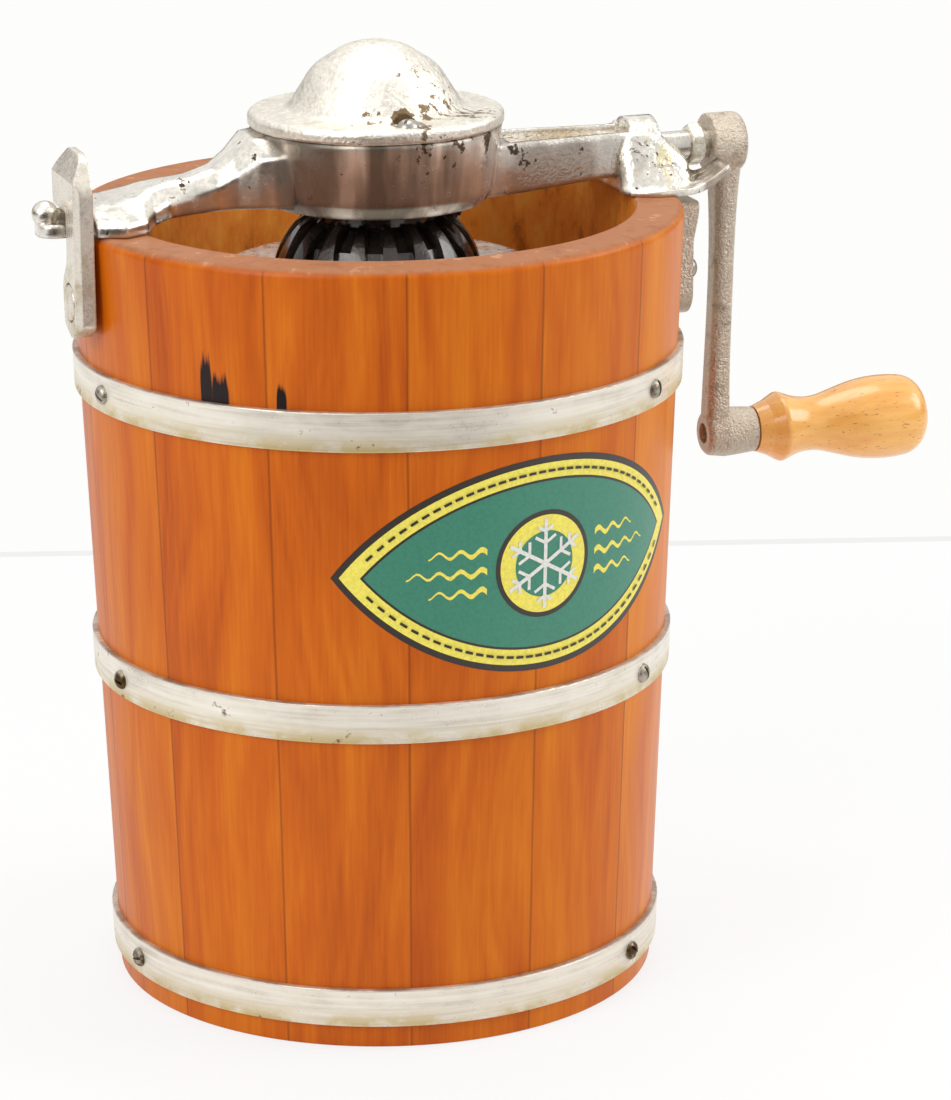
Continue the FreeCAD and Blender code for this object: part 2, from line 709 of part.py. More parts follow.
dome = new_body("cover_dome")
revolve(dome, outline(dome, "dome_outside", "XZ_Plane", [
    ("0", "housing_top + 0.1"), ("cover_radius", "housing_top + 0.1", "1.2"),
    ("cover_radius", "housing_top + cover_edge", "2"), ("dome_foot", "dome_foot_height", "3.5"),
    ("0.71 * dome_foot", "cover_top - 8.4", "14"), ("0.31 * dome_foot", "cover_top - 1", "20"),
    ("0", "cover_top")]))

hollow = new_body("cover_hollow")
revolve(hollow, outline(hollow, "dome_inside", "XZ_Plane", [
    ("0", "housing_top - 2"), ("32.8", "housing_top - 2"),
    ("32.8", "dome_foot_height - cover_wall"), ("dome_foot - 1.6", "dome_foot_height - cover_wall"),
    ("0.71 * dome_foot - 2", "cover_top - 8.4 - 0.7 * cover_wall"),
    ("9.6", "cover_top - 1.6 * cover_wall"), ("9.6", "cover_top - 13"),
    ("stem_radius + shaft_running_gap", "cover_top - 13"),
    ("stem_radius + shaft_running_gap", "cover_top - 6"), ("0", "cover_top - 6")]))
for side in ("cover_screw_offset", "-cover_screw_offset"):
    cut = pocket(hollow, disc(hollow, "pocket_boss", "XY_Plane", "0", side,
                              "cover_boss_radius", offset="housing_top - 4"), "30")
    cut.SideType = "One side"
    cut.Reversed = True

recesses = []
for index, side in enumerate(("cover_screw_offset", "-cover_screw_offset")):
    recess = new_body(f"cover_recess_{index}")
    pad(recess, disc(recess, "recess_floor", "XY_Plane", "0", side, "cover_recess_radius",
                     offset="housing_top + cover_recess_floor"), "30", symmetric=False)
    recesses.append(recess)
node(joined("gear_cover", [dome], [hollow] + recesses + cover_holes))

cover_screw = round_head_screw(3.7, 2.7, 1.7, 14)
node(shape_node("cover_screws", Part.makeCompound([
    placed(cover_screw, Vector(0, side, size("housing_top + cover_recess_floor") + 0.05), Vector(0, 0, 1), 55)
    for side in (size("cover_screw_offset"), -size("cover_screw_offset"))])))


# Drive gears: straight bevel teeth, cast, with their cones meeting on the shaft's axis

APEX = Vector(0, 0, size("shaft_height"))
WHEEL_PITCH = size("tooth_module * wheel_teeth / 2")
PINION_PITCH = size("tooth_module * pinion_teeth / 2")


def cone_point(pitch, mate_pitch, out, scale=1.0):
    """Radius and distance from the apex of a point on the heel's back cone, that far outside the
    pitch cone, drawn in towards the apex by the scale."""
    slant = math.hypot(pitch, mate_pitch)
    return ((pitch + out * mate_pitch / slant) * scale, (mate_pitch - out * pitch / slant) * scale)


def tooth_wedges(count, pitch, mate_pitch, near, far, first_angle, root_depth, tip_height):
    """Teeth that run in straight lines to the apex, between two planes across their Z axis. The
    flanks are involutes of the equivalent spur gear on the back cone, and radial below its base
    circle."""
    slant = math.hypot(pitch, mate_pitch)
    back_cone = pitch * slant / mate_pitch
    virtual_count = count * slant / mate_pitch
    base = back_cone * math.cos(math.radians(20))

    def involute(radius):
        pressure = math.acos(min(1.0, base / radius))
        return math.tan(pressure) - pressure

    thin = 1 - size("tooth_thinning")
    radii = [back_cone - root_depth]
    radii += [base + (back_cone + tip_height - base) * step / 3 for step in range(4)]
    flank = []
    for radius in radii:
        half = thin * math.pi / (2 * virtual_count) + involute(back_cone) - involute(max(radius, base))
        reach, height = cone_point(pitch, mate_pitch, radius - back_cone)
        flank.append((reach / height, half * slant / mate_pitch))
    ring = [(ratio, -angle) for ratio, angle in flank] + [(ratio, angle) for ratio, angle in flank[::-1]]
    ends = [
        [Vector(height * ratio * math.cos(angle), height * ratio * math.sin(angle), height)
         for ratio, angle in ring] for height in (near, far)]
    faces = [Part.Face(Part.makePolygon(points + points[:1])) for points in ends]
    for index in range(len(ring)):
        after = (index + 1) % len(ring)
        corners = [ends[0][index], ends[0][after], ends[1][after], ends[1][index], ends[0][index]]
        faces.append(Part.Face(Part.makePolygon(corners)))
    tooth = Part.makeSolid(Part.makeShell(faces))
    if tooth.Volume < 0:
        tooth.reverse()
    teeth = []
    for index in range(count):
        copy = tooth.copy()
        copy.rotate(Vector(0, 0, 0), Vector(0, 0, 1), first_angle + index * 360 / count)
        teeth.append(copy)
    return teeth


def turned(points, bulge=None):
    """A solid turned about Z from (radius, height) points. A bulge is the index of the side that
    is an arc, and the point that the arc passes through."""
    ring = [Vector(radius, 0, height) for radius, height in points]
    sides = []
    for index, start in enumerate(ring):
        end = ring[(index + 1) % len(ring)]
        if bulge and bulge[0] == index:
            sides.append(Part.Arc(start, Vector(bulge[1][0], 0, bulge[1][1]), end).toShape())
        else:
            sides.append(Part.LineSegment(start, end).toShape())
    return Part.Face(Part.Wire(sides)).revolve(Vector(0, 0, 0), Vector(0, 0, 1), 360)


def gear(blank, band, teeth):
    """A blank with the stretches of the teeth that lie in the band of its rim."""
    ribs = [tooth.common(band) for tooth in teeth]
    return blank.multiFuse(ribs).removeSplitter()


ADDENDUM, DEDENDUM = size("tooth_addendum"), size("tooth_dedendum")
TOE = size("toe_scale")

# lower wheel, drawn upside down from the apex: teeth run on as ribs down the bell that stands on the lid
toe_root = cone_point(WHEEL_PITCH, PINION_PITCH, -DEDENDUM, TOE)
heel_root = cone_point(WHEEL_PITCH, PINION_PITCH, -DEDENDUM)
toe_tip = cone_point(WHEEL_PITCH, PINION_PITCH, ADDENDUM, TOE)
shoulder = cone_point(WHEEL_PITCH, PINION_PITCH, ADDENDUM, 0.89)
base_depth = size("shaft_height - can_top") - 1.5
bell_blank = turned([
    (7, base_depth), (30.8, base_depth), (30.2, base_depth - 4.2), heel_root, toe_root, (19.6, 15.8),
    (19, 12.4), (7, 12.4)])
bell_band = turned([
    toe_root, toe_tip, shoulder, (33.4, base_depth - 3.2), (33.8, base_depth), (30, base_depth),
    (29.4, base_depth - 4.2), (heel_root[0] - 0.8, heel_root[1] + 0.6), (toe_root[0] - 0.8, toe_root[1] + 0.6)],
    bulge=(2, (31, 23.6)))
bell_teeth = tooth_wedges(int(size("wheel_teeth")), WHEEL_PITCH, PINION_PITCH, 9, 45, 0, 10, ADDENDUM + 0.4)
bell = gear(bell_blank, bell_band, bell_teeth)
bell.Placement = Placement(APEX, Rotation(Vector(1, 0, 0), 180))
can_drive_gear = node(shape_node("can_drive_gear", bell))

# upper wheel, under the dome, keyed to the dasher's stem
HEEL = size("top_wheel_scale")
top_toe_root = cone_point(WHEEL_PITCH, PINION_PITCH, -DEDENDUM, 0.7)
top_heel_root = cone_point(WHEEL_PITCH, PINION_PITCH, -DEDENDUM, HEEL)
top_toe_tip = cone_point(WHEEL_PITCH, PINION_PITCH, ADDENDUM, 0.7)
top_heel_tip = cone_point(WHEEL_PITCH, PINION_PITCH, ADDENDUM, HEEL)
stem_hole = size("stem_radius") + 0.02
top_blank = turned([
    (stem_hole, 12), (9, 12), (10, 15.6), top_toe_root, top_heel_root, (22.6, 22.4), (9.6, 23.4),
    (9, 27), (stem_hole, 27)])
top_band = turned([
    top_toe_root, top_toe_tip, top_heel_tip, top_heel_root, (top_heel_root[0] - 0.8, top_heel_root[1] + 0.6),
    (top_toe_root[0] - 0.8, top_toe_root[1] + 0.6)])
top_teeth = tooth_wedges(int(size("wheel_teeth")), WHEEL_PITCH, PINION_PITCH, 9, 30, 10, 4, ADDENDUM + 0.4)
top_wheel = gear(top_blank, top_band, top_teeth)
top_wheel.Placement = Placement(APEX, Rotation())
node(shape_node("dasher_drive_gear", top_wheel))

# pinion, pinned to the crank shaft
pinion_toe_root = cone_point(PINION_PITCH, WHEEL_PITCH, -DEDENDUM, TOE)
pinion_heel_root = cone_point(PINION_PITCH, WHEEL_PITCH, -DEDENDUM, HEEL)
pinion_toe_tip = cone_point(PINION_PITCH, WHEEL_PITCH, ADDENDUM, TOE)
pinion_heel_tip = cone_point(PINION_PITCH, WHEEL_PITCH, ADDENDUM, HEEL)
pinion_hole = size("shaft_radius") + 0.02
pinion_blank = turned([
    (pinion_hole, 19.4), (9.4, 19.4), pinion_toe_root, pinion_heel_root, (14.5, 28.4), (8.5, 29),
    (8.5, 34.4), (pinion_hole, 34.4)])
pinion_band = turned([
    pinion_toe_root, pinion_toe_tip, pinion_heel_tip, pinion_heel_root,
    (pinion_heel_root[0] - 0.8, pinion_heel_root[1] + 0.4),
    (pinion_toe_root[0] - 0.8, pinion_toe_root[1] + 0.4)])
pinion_teeth = tooth_wedges(int(size("pinion_teeth")), PINION_PITCH, WHEEL_PITCH, 14, 40, 180, 4,
                            ADDENDUM + 0.4)
PIN_STATION = 32.9
pinion = gear(pinion_blank, pinion_band, pinion_teeth)
pin_hole = Part.makeCylinder(1.45, 30, Vector(-15, 0, PIN_STATION), Vector(1, 0, 0))
pinion = pinion.cut(pin_hole)
pinion.Placement = Placement(APEX, Rotation(Vector(0, 1, 0), 90))
node(shape_node("pinion", pinion))


# Crank: the shaft, its cross pin, the cast arm, and the spindle that the grip turns on

def turned_body(name, corners, height="shaft_height"):
    """A body turned about a level axis along X."""
    owner = new_body(name)
    revolve(owner, outline(owner, name + "_side", "XZ_Plane", corners), axis="H_Axis")
    owner.setExpression("Placement.Base.z", cells(height))
    return owner


crank_shaft = node(turned_body("crank_shaft", [
    ("13", "0"), ("13", "shaft_radius - 0.6"), ("13.6", "shaft_radius"),
    ("boss_outer + 0.2", "shaft_radius"), ("boss_outer + 0.9", "shaft_radius - 0.8"),
    ("boss_outer + 0.9", "0")]))
drill(crank_shaft, "pin_hole", "1.45", "20", Vector(PIN_STATION, 0, -10), Vector(0, 0, 1))

pinion_pin = node(new_body("pinion_pin"))
pad(pinion_pin, disc(pinion_pin, "pin_end", "XY_Plane", str(PIN_STATION), "0", "1.4",
                     offset="shaft_height"), "14.6")

arm_bar = new_body("arm_bar")
loft(arm_bar, [
    plan_section(arm_bar, f"bar_{index}", height, low_x, f"{low_x} + {thick}", half_width, 3.2)
    for index, (height, low_x, thick, half_width) in enumerate([
        ("shaft_height - crank_throw + 3", 115.6, 8.4, 5.6),
        ("shaft_height - crank_throw + 20", 116.2, 7.6, 5.2),
        ("shaft_height - 50", 117.4, "arm_thickness", "arm_half_width"),
        ("shaft_height - 20", 117.6, 8, 5.6), ("shaft_height - 4", 117, 9.6, 7.5)])])
arm_boss = turned_body("arm_boss", [
    ("boss_inner", "0"), ("boss_inner", "boss_radius", "1"), ("boss_outer", "boss_radius", "2.6"),
    ("boss_outer", "0")])
arm_eye = turned_body("arm_eye", [
    ("eye_inner", "0"), ("eye_inner", "eye_radius", "2.4"), ("eye_inner + 7", "eye_radius + 1", "3"),
    ("eye_inner + 11", "8.2", "3"), ("collar_end", "7.6", "0.6"), ("collar_end", "0")],
    height="shaft_height - crank_throw")
shaft_bore = new_body("arm_shaft_bore")
pad(shaft_bore, disc(shaft_bore, "shaft_bore_face", "YZ_Plane", "0", "shaft_height",
                     "shaft_radius + 0.02", offset="100"), "60", symmetric=False)
spindle_bore = new_body("arm_spindle_bore")
pad(spindle_bore, disc(spindle_bore, "spindle_bore_face", "YZ_Plane", "0", "shaft_height - crank_throw",
                       "spindle_radius + 0.02", offset="100"), "60", symmetric=False)
node(joined("crank_arm", [arm_bar, arm_boss, arm_eye], [shaft_bore, spindle_bore]))

node(turned_body("handle_spindle", [
    ("eye_inner + 1.6", "0"), ("eye_inner + 1.6", "spindle_radius"), ("collar_end + grip_length - 9", "spindle_radius"),
    ("collar_end + grip_length - 8", "spindle_radius - 1"), ("collar_end + grip_length - 8", "0")],
    height="shaft_height - crank_throw"))

# nut that keeps the shaft from sliding out of the frame
nut_flats = new_body("nut_flats")
pad(nut_flats, outline(nut_flats, "nut_face", "YZ_Plane", [
    (f"{math.sin(math.radians(turn)):.6f} * nut_corner", f"shaft_height + {math.cos(math.radians(turn)):.6f} * nut_corner")
    for turn in range(0, 360, 60)], offset="nut_inner"), "nut_outer - nut_inner", symmetric=False)
nut_turning = turned_body("nut_turning", [
    ("nut_inner", "0"), ("nut_inner", "nut_corner - 1"), ("nut_inner + 0.7", "nut_corner + 0.2"),
    ("nut_outer - 0.7", "nut_corner + 0.2"), ("nut_outer", "nut_corner - 1"), ("nut_outer", "0")])
chamfered_nut = doc.addObject("Part::MultiCommon", "chamfered_nut")
chamfered_nut.Shapes = [nut_flats, nut_turning]
node(joined("crank_nut", [chamfered_nut], [shaft_bore]))

# Grip: turned beech, a bead by the collar, a waist, then the swelling for the palm
handle_grip = node(turned_body("handle_grip", [
    ("collar_end + 0.3", "0"), ("collar_end + 0.3", "7.8"), ("collar_end + 4.6", "9.4"),
    ("collar_end + 9.3", "12.1", "2.2"), ("collar_end + 19.5", "8.2", "20"),
    ("collar_end + 43.5", "15.2", "50"), ("collar_end + grip_length", "13", "9"),
    ("collar_end + grip_length", "0")], height="shaft_height - crank_throw"))
drill(handle_grip, "grip_bore", "spindle_radius + shaft_running_gap", "grip_length - 7.6",
      Vector(size("collar_end"), 0, 0), Vector(1, 0, 0))


# Can: tinned sheet, its pivot in the step bearing, its lid with the wheel standing on it

step_bearing = node(new_body("step_bearing"))
revolve(step_bearing, outline(step_bearing, "step_side", "XZ_Plane", [
    ("0", "board_height + board_thickness"), ("20", "board_height + board_thickness"),
    ("20", "board_height + board_thickness + 2.6", "0.6"), ("10.6", "board_height + board_thickness + 3"),
    ("9.4", "can_floor - 3.4", "0.6"), ("socket_radius", "can_floor - 3.4"),
    ("socket_radius", "board_height + board_thickness + 1.2"),
    ("0", "board_height + board_thickness + 1.2")]))
for angle in STEP_SCREW_ANGLES:
    entry = outward(angle) * size("step_screw_circle") + Vector(0, 0, size("can_floor"))
    drill(step_bearing, "step_hole", "screw_hole_radius", "14", entry, Vector(0, 0, -1))
step_screw = round_head_screw(size("screw_head_radius"), size("screw_head_height"),
                              size("screw_shank_radius"), 12)
node(shape_node("step_bearing_screws", Part.makeCompound([
    placed(step_screw, outward(angle) * size("step_screw_circle")
           + Vector(0, 0, size("board_height + board_thickness") + 2.95), Vector(0, 0, 1), angle)
    for angle in STEP_SCREW_ANGLES])))

can = node(new_body("can"))
revolve(can, outline(can, "can_side", "XZ_Plane", [
    ("0", "can_floor"), ("can_radius", "can_floor", "1.6"), ("can_radius", "can_top"),
    ("can_radius - can_wall", "can_top"), ("can_radius - can_wall", "can_floor + can_wall", "0.8"),
    ("7.4", "can_floor + can_wall"), ("7", "can_floor + 7"), ("4.06", "can_floor + 7"),
    ("4.06", "can_floor + can_wall"), ("0", "can_floor + can_wall")]))

can_pivot = node(new_body("can_pivot"))
revolve(can_pivot, outline(can_pivot, "pivot_side", "XZ_Plane", [
    ("0", "board_height + board_thickness + 1.5"), ("pivot_radius", "board_height + board_thickness + 1.5", "1.5"),
    ("pivot_radius", "can_floor - 3.1"), ("13", "can_floor - 1.4", "0.5"), ("14", "can_floor - 0.02"),
    ("0", "can_floor - 0.02")]))

can_lid = node(new_body("can_lid"))
revolve(can_lid, outline(can_lid, "lid_side", "XZ_Plane", [
    ("stem_radius + 2", "can_top + 0.05"), ("can_radius + 0.3", "can_top + 0.05"),
    ("can_radius + 0.3", "can_top - lid_skirt"), ("lid_radius - 0.2", "can_top - lid_skirt"),
    ("lid_radius - 0.2", "can_top + 1.4", "1"), ("stem_radius + 2", "can_top + 1.4")]))


# Dasher: a cast frame on its stem, with a bevelled wooden scraper fitted over each side bar

dasher_plate = new_body("dasher_plate")
pad(dasher_plate, outline(dasher_plate, "dasher_side", "XZ_Plane", [
    ("-dasher_bar_offset - 4", "can_floor + 12", "6"), ("dasher_bar_offset + 4", "can_floor + 12", "6"),
    ("dasher_bar_offset + 4", "can_top - 14", "8"), ("-dasher_bar_offset - 4", "can_top - 14", "8")]), "6")
dasher_windows = []
for index, (low, high) in enumerate((("can_floor + 22", "can_floor + 92"), ("can_floor + 100", "can_top - 26"))):
    window = new_body(f"dasher_window_{index}")
    pad(window, outline(window, "window_side", "XZ_Plane", [
        ("-dasher_bar_offset + 4", low, "6"), ("dasher_bar_offset - 4", low, "6"),
        ("dasher_bar_offset - 4", high, "6"), ("-dasher_bar_offset + 4", high, "6")]), "20")
    dasher_windows.append(window)
dasher_stem = new_body("dasher_stem")
revolve(dasher_stem, outline(dasher_stem, "stem_side", "XZ_Plane", [
    ("0", "can_floor + 1.6"), ("4", "can_floor + 1.6", "1"), ("4", "can_floor + 10"),
    ("7.5", "can_floor + 11"), ("7.5", "can_floor + 24", "3"), ("0", "can_floor + 27")]))
dasher_top = new_body("dasher_top")
revolve(dasher_top, outline(dasher_top, "top_side", "XZ_Plane", [
    ("0", "can_top - 30"), ("8.5", "can_top - 26", "3"), ("8.5", "can_top - 10"),
    ("stem_radius", "can_top - 8"), ("stem_radius", "cover_top - 6.6"), ("stem_radius - 0.6", "cover_top - 6.1"),
    ("0", "cover_top - 6.1")]))
node(joined("dasher_frame", [dasher_plate, dasher_stem, dasher_top], dasher_windows))


def make_scraper(name, turn):
    owner = new_body(name)
    reach = "scraper_radius"
    pad(owner, outline(owner, name + "_plan", "XY_Plane", [
        ("dasher_bar_offset - 1", "-6"), (f"{reach} - 6", "-6"), (f"{reach} - 0.2", "2.4", "0.6"),
        (f"{reach} - 0.8", "5.6", "0.6"), ("dasher_bar_offset - 1", "6"), ("dasher_bar_offset - 1", "3.1"),
        ("dasher_bar_offset + 4.1", "3.1"), ("dasher_bar_offset + 4.1", "-3.1"),
        ("dasher_bar_offset - 1", "-3.1")], offset="can_floor + 24"), "can_top - can_floor - 50",
        symmetric=False)
    owner.Placement = Placement(Vector(0, 0, 0), Rotation(Vector(0, 0, 1), turn))
    return node(owner)


make_scraper("scraper_right", 0)
make_scraper("scraper_left", 180)


# Finished parts: every one is tested, then written to its own file

doc.recompute()
failed = [item.Name for item in doc.Objects if "Invalid" in item.State or "Error" in item.State]
if failed:
    raise RuntimeError("failed objects: " + ", ".join(failed))
for item in NODES:
    if item.Shape.isNull() or not item.Shape.isValid() or item.Shape.Volume < 1:
        raise RuntimeError("bad shape: " + item.Label)
os.makedirs("parts", exist_ok=True)
for item in NODES:
    item.Shape.exportStep(f"parts/{item.Label}.step")
    print(f"{item.Label}: {item.Shape.Volume / 1000:.2f} cm3, {len(item.Shape.Solids)} solids")
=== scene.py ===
import math

import bmesh
import bpy
from mathutils import Matrix, Vector


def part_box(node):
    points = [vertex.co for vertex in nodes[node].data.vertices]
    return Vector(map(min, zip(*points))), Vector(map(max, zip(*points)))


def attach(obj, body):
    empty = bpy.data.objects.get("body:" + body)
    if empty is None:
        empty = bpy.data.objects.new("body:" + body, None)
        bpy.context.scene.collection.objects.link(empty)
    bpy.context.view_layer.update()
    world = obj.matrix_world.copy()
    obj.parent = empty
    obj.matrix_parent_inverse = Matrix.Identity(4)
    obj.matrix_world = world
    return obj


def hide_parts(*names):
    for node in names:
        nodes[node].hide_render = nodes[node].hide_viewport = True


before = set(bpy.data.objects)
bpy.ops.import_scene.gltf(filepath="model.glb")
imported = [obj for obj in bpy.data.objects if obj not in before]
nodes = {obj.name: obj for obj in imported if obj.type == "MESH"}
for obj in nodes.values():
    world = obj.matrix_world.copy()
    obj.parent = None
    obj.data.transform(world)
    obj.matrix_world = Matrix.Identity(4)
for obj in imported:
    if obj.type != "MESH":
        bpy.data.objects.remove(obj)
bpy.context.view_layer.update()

scene = bpy.context.scene


# Camera: a long lens on a stand at the front left, a little above the tub's rim and tipped down,
# so that the rim shows as a flat oval and the gear ring can be seen under its housing.

CAMERA_PLACE = Vector((-0.42965, -1.32589, 0.55170))
CAMERA_LOOK = Vector((0.3162, 0.9055, -0.2831)).normalized()
CAMERA_ROLL = -0.0056
LENS_MM = 142.81
FILM_MM = 36.0

level_right = CAMERA_LOOK.cross(Vector((0, 0, 1))).normalized()
level_up = level_right.cross(CAMERA_LOOK)
camera_right = level_right * math.cos(CAMERA_ROLL) + level_up * math.sin(CAMERA_ROLL)
camera_up = level_up * math.cos(CAMERA_ROLL) - level_right * math.sin(CAMERA_ROLL)
camera_data = bpy.data.cameras.new("camera")
camera_data.sensor_width = FILM_MM
camera_data.lens = LENS_MM
camera_data.clip_end = 20
camera = bpy.data.objects.new("camera", camera_data)
turn = Matrix((camera_right, camera_up, -CAMERA_LOOK)).transposed()
camera.matrix_world = Matrix.Translation(CAMERA_PLACE) @ turn.to_4x4()
scene.collection.objects.link(camera)
scene.camera = camera


# Table and light tent: a white table top, white all round, a broad soft lamp at each side and one
# above, and dim cards in front, at the sides and low at the back, for the metals to reflect.

FLOOR_DROP = 0.0002
TABLE_REACH = 6.0
TABLE_GLOW = 0.8
BACK_EDGE = Vector((-0.007, 0.500, -FLOOR_DROP))
BACK_EDGE_RUN = Vector((0.956, -0.292, 0))
# the grey strip behind the table's back edge is a painted shadow line where the table ends
EDGE_STRIP = 0.008
EDGE_SHADOW_GREY = 0.87
TABLE_WHITE = (0.9, 0.9, 0.89)
TABLE_ROUGHNESS = 0.6
TENT_LIGHT = 0.62
TENT_WHITE = (0.985, 0.985, 0.97)
LAMPS = {
    # name: place, size across, power in watts
    "lamp_left": (Vector((-1.5, -0.9, 1.3)), 1.3, 17),
    "lamp_right": (Vector((1.6, -0.5, 1.1)), 1.1, 13),
    "lamp_top": (Vector((0.1, 0.3, 1.9)), 1.2, 12),
}
LAMP_TARGET = Vector((0, 0, 0.15))


def linked(tree, kind, links=(), **settings):
    """A node in a tree with its settings. Links are (socket, value or output) pairs."""
    made = tree.nodes.new(kind)
    for key, value in settings.items():
        setattr(made, key, value)
    for socket, value in links:
        if isinstance(value, bpy.types.NodeSocket):
            tree.links.new(value, made.inputs[socket])
        else:
            made.inputs[socket].default_value = value
    return made


def seen_or_mirrored(tree):
    """One for rays from the camera or from a gloss or clear surface, and nought for the rest."""
    path = linked(tree, "ShaderNodeLightPath").outputs
    mirrored = linked(tree, "ShaderNodeMath", [
        (0, path["Is Glossy Ray"]), (1, path["Is Transmission Ray"])], operation="MAXIMUM")
    return linked(tree, "ShaderNodeMath", [
        (0, path["Is Camera Ray"]), (1, mirrored.outputs[0])], operation="MAXIMUM").outputs[0]


tent = bpy.data.worlds.new("light_tent")
tent.use_nodes = True
scene.world = tent
tent_tree = tent.node_tree
tent_tree.nodes.clear()
tent_dim = linked(tent_tree, "ShaderNodeBackground", [("Strength", TENT_LIGHT)])
tent_white = linked(tent_tree, "ShaderNodeBackground", [("Color", (*TENT_WHITE, 1))])
tent_mix = linked(tent_tree, "ShaderNodeMixShader", [
    ("Fac", seen_or_mirrored(tent_tree)), (1, tent_dim.outputs[0]), (2, tent_white.outputs[0])])
linked(tent_tree, "ShaderNodeOutputWorld", [("Surface", tent_mix.outputs[0])])

for name, (place, across, watts) in LAMPS.items():
    lamp_data = bpy.data.lights.new(name, "AREA")
    lamp_data.shape = "DISK"
    lamp_data.size = across
    lamp_data.energy = watts
    lamp = bpy.data.objects.new(name, lamp_data)
    lamp.location = place
    lamp.rotation_euler = (LAMP_TARGET - place).to_track_quat("-Z", "Y").to_euler()
    scene.collection.objects.link(lamp)


def flat_sheet(name, corners):
    """A stage sheet through four corners."""
    mesh = bpy.data.meshes.new(name)
    mesh.from_pydata(corners, [], [range(len(corners))])
    sheet = bpy.data.objects.new(name, mesh)
    scene.collection.objects.link(sheet)
    return sheet


def table_paint(name, grey):
    """A pale paint that also glows a little by itself where the camera or a gloss sees it."""
    paint = bpy.data.materials.new(name)
    paint.use_nodes = True
    tree = paint.node_tree
    shader = tree.nodes["Principled BSDF"]
    shader.inputs["Base Color"].default_value = (*TABLE_WHITE, 1)
    shader.inputs["Roughness"].default_value = TABLE_ROUGHNESS
    light = linked(tree, "ShaderNodeEmission", [("Color", (grey, grey, grey, 1))])
    share = linked(tree, "ShaderNodeMath", [(0, seen_or_mirrored(tree)), (1, TABLE_GLOW)],
                   operation="MULTIPLY")
    mix = linked(tree, "ShaderNodeMixShader", [
        ("Fac", share.outputs[0]), (1, shader.outputs[0]), (2, light.outputs[0])])
    tree.links.new(mix.outputs[0], tree.nodes["Material Output"].inputs["Surface"])
    return paint


def table_sheet(name, near, far, paint):
    """A strip of the table between two distances in front of its back edge."""
    front = BACK_EDGE_RUN.cross(Vector((0, 0, 1))).normalized()
    half = BACK_EDGE_RUN.normalized() * TABLE_REACH
    sheet = flat_sheet(name, [
        BACK_EDGE + front * near - half, BACK_EDGE + front * near + half,
        BACK_EDGE + front * far + half, BACK_EDGE + front * far - half])
    sheet.data.materials.append(paint)


table_sheet("table_top", TABLE_REACH, 0, table_paint("white_table", 1.0))
# painted shadow: a thin grey glowing strip along the table's back edge
table_sheet("table_edge", 0, -EDGE_STRIP, table_paint("table_edge_painted_shadow", EDGE_SHADOW_GREY))

CARDS = {
    # name: colour, then distance in front of the tub, half width and height of its two level edges
    "camera_card": ((0.040, 0.028, 0.020), (1.75, 0.95, 0.0), (1.75, 0.95, 1.15)),
    "table_card": ((0.085, 0.062, 0.046), (0.36, 0.60, 0.0012), (1.75, 1.15, 0.0012)),
    "low_card": ((0.20, 0.17, 0.14), (-2.4, 2.6, 0.02), (-2.4, 2.6, 0.75)),
}
CARD_ROUGHNESS = 0.9
SIDE_CARD_REACH = 2.3
SIDE_CARD_HALF = 1.6
SIDE_CARD_TALL = 0.8


def grey_card(name, colour, corners):
    """A dim card that only the gloss of the metals can see."""
    card = flat_sheet(name, corners)
    paint = bpy.data.materials.new(name + "_paint")
    paint.use_nodes = True
    shader = paint.node_tree.nodes["Principled BSDF"]
    shader.inputs["Base Color"].default_value = (*colour, 1)
    shader.inputs["Roughness"].default_value = CARD_ROUGHNESS
    card.data.materials.append(paint)
    card.visible_camera = False
    card.visible_diffuse = False
    card.visible_shadow = False


towards_camera = Vector((-CAMERA_LOOK.x, -CAMERA_LOOK.y, 0)).normalized()
for name, (colour, near_edge, far_edge) in CARDS.items():
    corners = []
    for (away, half, height), signs in ((near_edge, (-1, 1)), (far_edge, (1, -1))):
        for sign in signs:
            aside = level_right * half * sign
            corners.append(towards_camera * away + aside + Vector((0, 0, height)))
    grey_card(name, colour, corners)
for name, sign in (("left_card", -1), ("right_card", 1)):
    side = level_right * sign * SIDE_CARD_REACH
    along = towards_camera * SIDE_CARD_HALF
    up = Vector((0, 0, SIDE_CARD_TALL))
    grey_card(name, CARDS["low_card"][0], [
        side + along, side - along, side - along + up, side + along + up])


# Tub staves: tapered softwood boards, stained warm orange brown and varnished, no two alike.
# Their planed joints run down to thin dark lines, and the hoops alone hold them together.

STAVE_COUNT = 14
STAVE_TURN = 360 / STAVE_COUNT
RIM_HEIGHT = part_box("stave_01")[1].z
TUB_TOP_RADIUS = -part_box("stave_01")[0].y
TUB_BASE_RADIUS = 0.090
TUB_WALL = 0.016


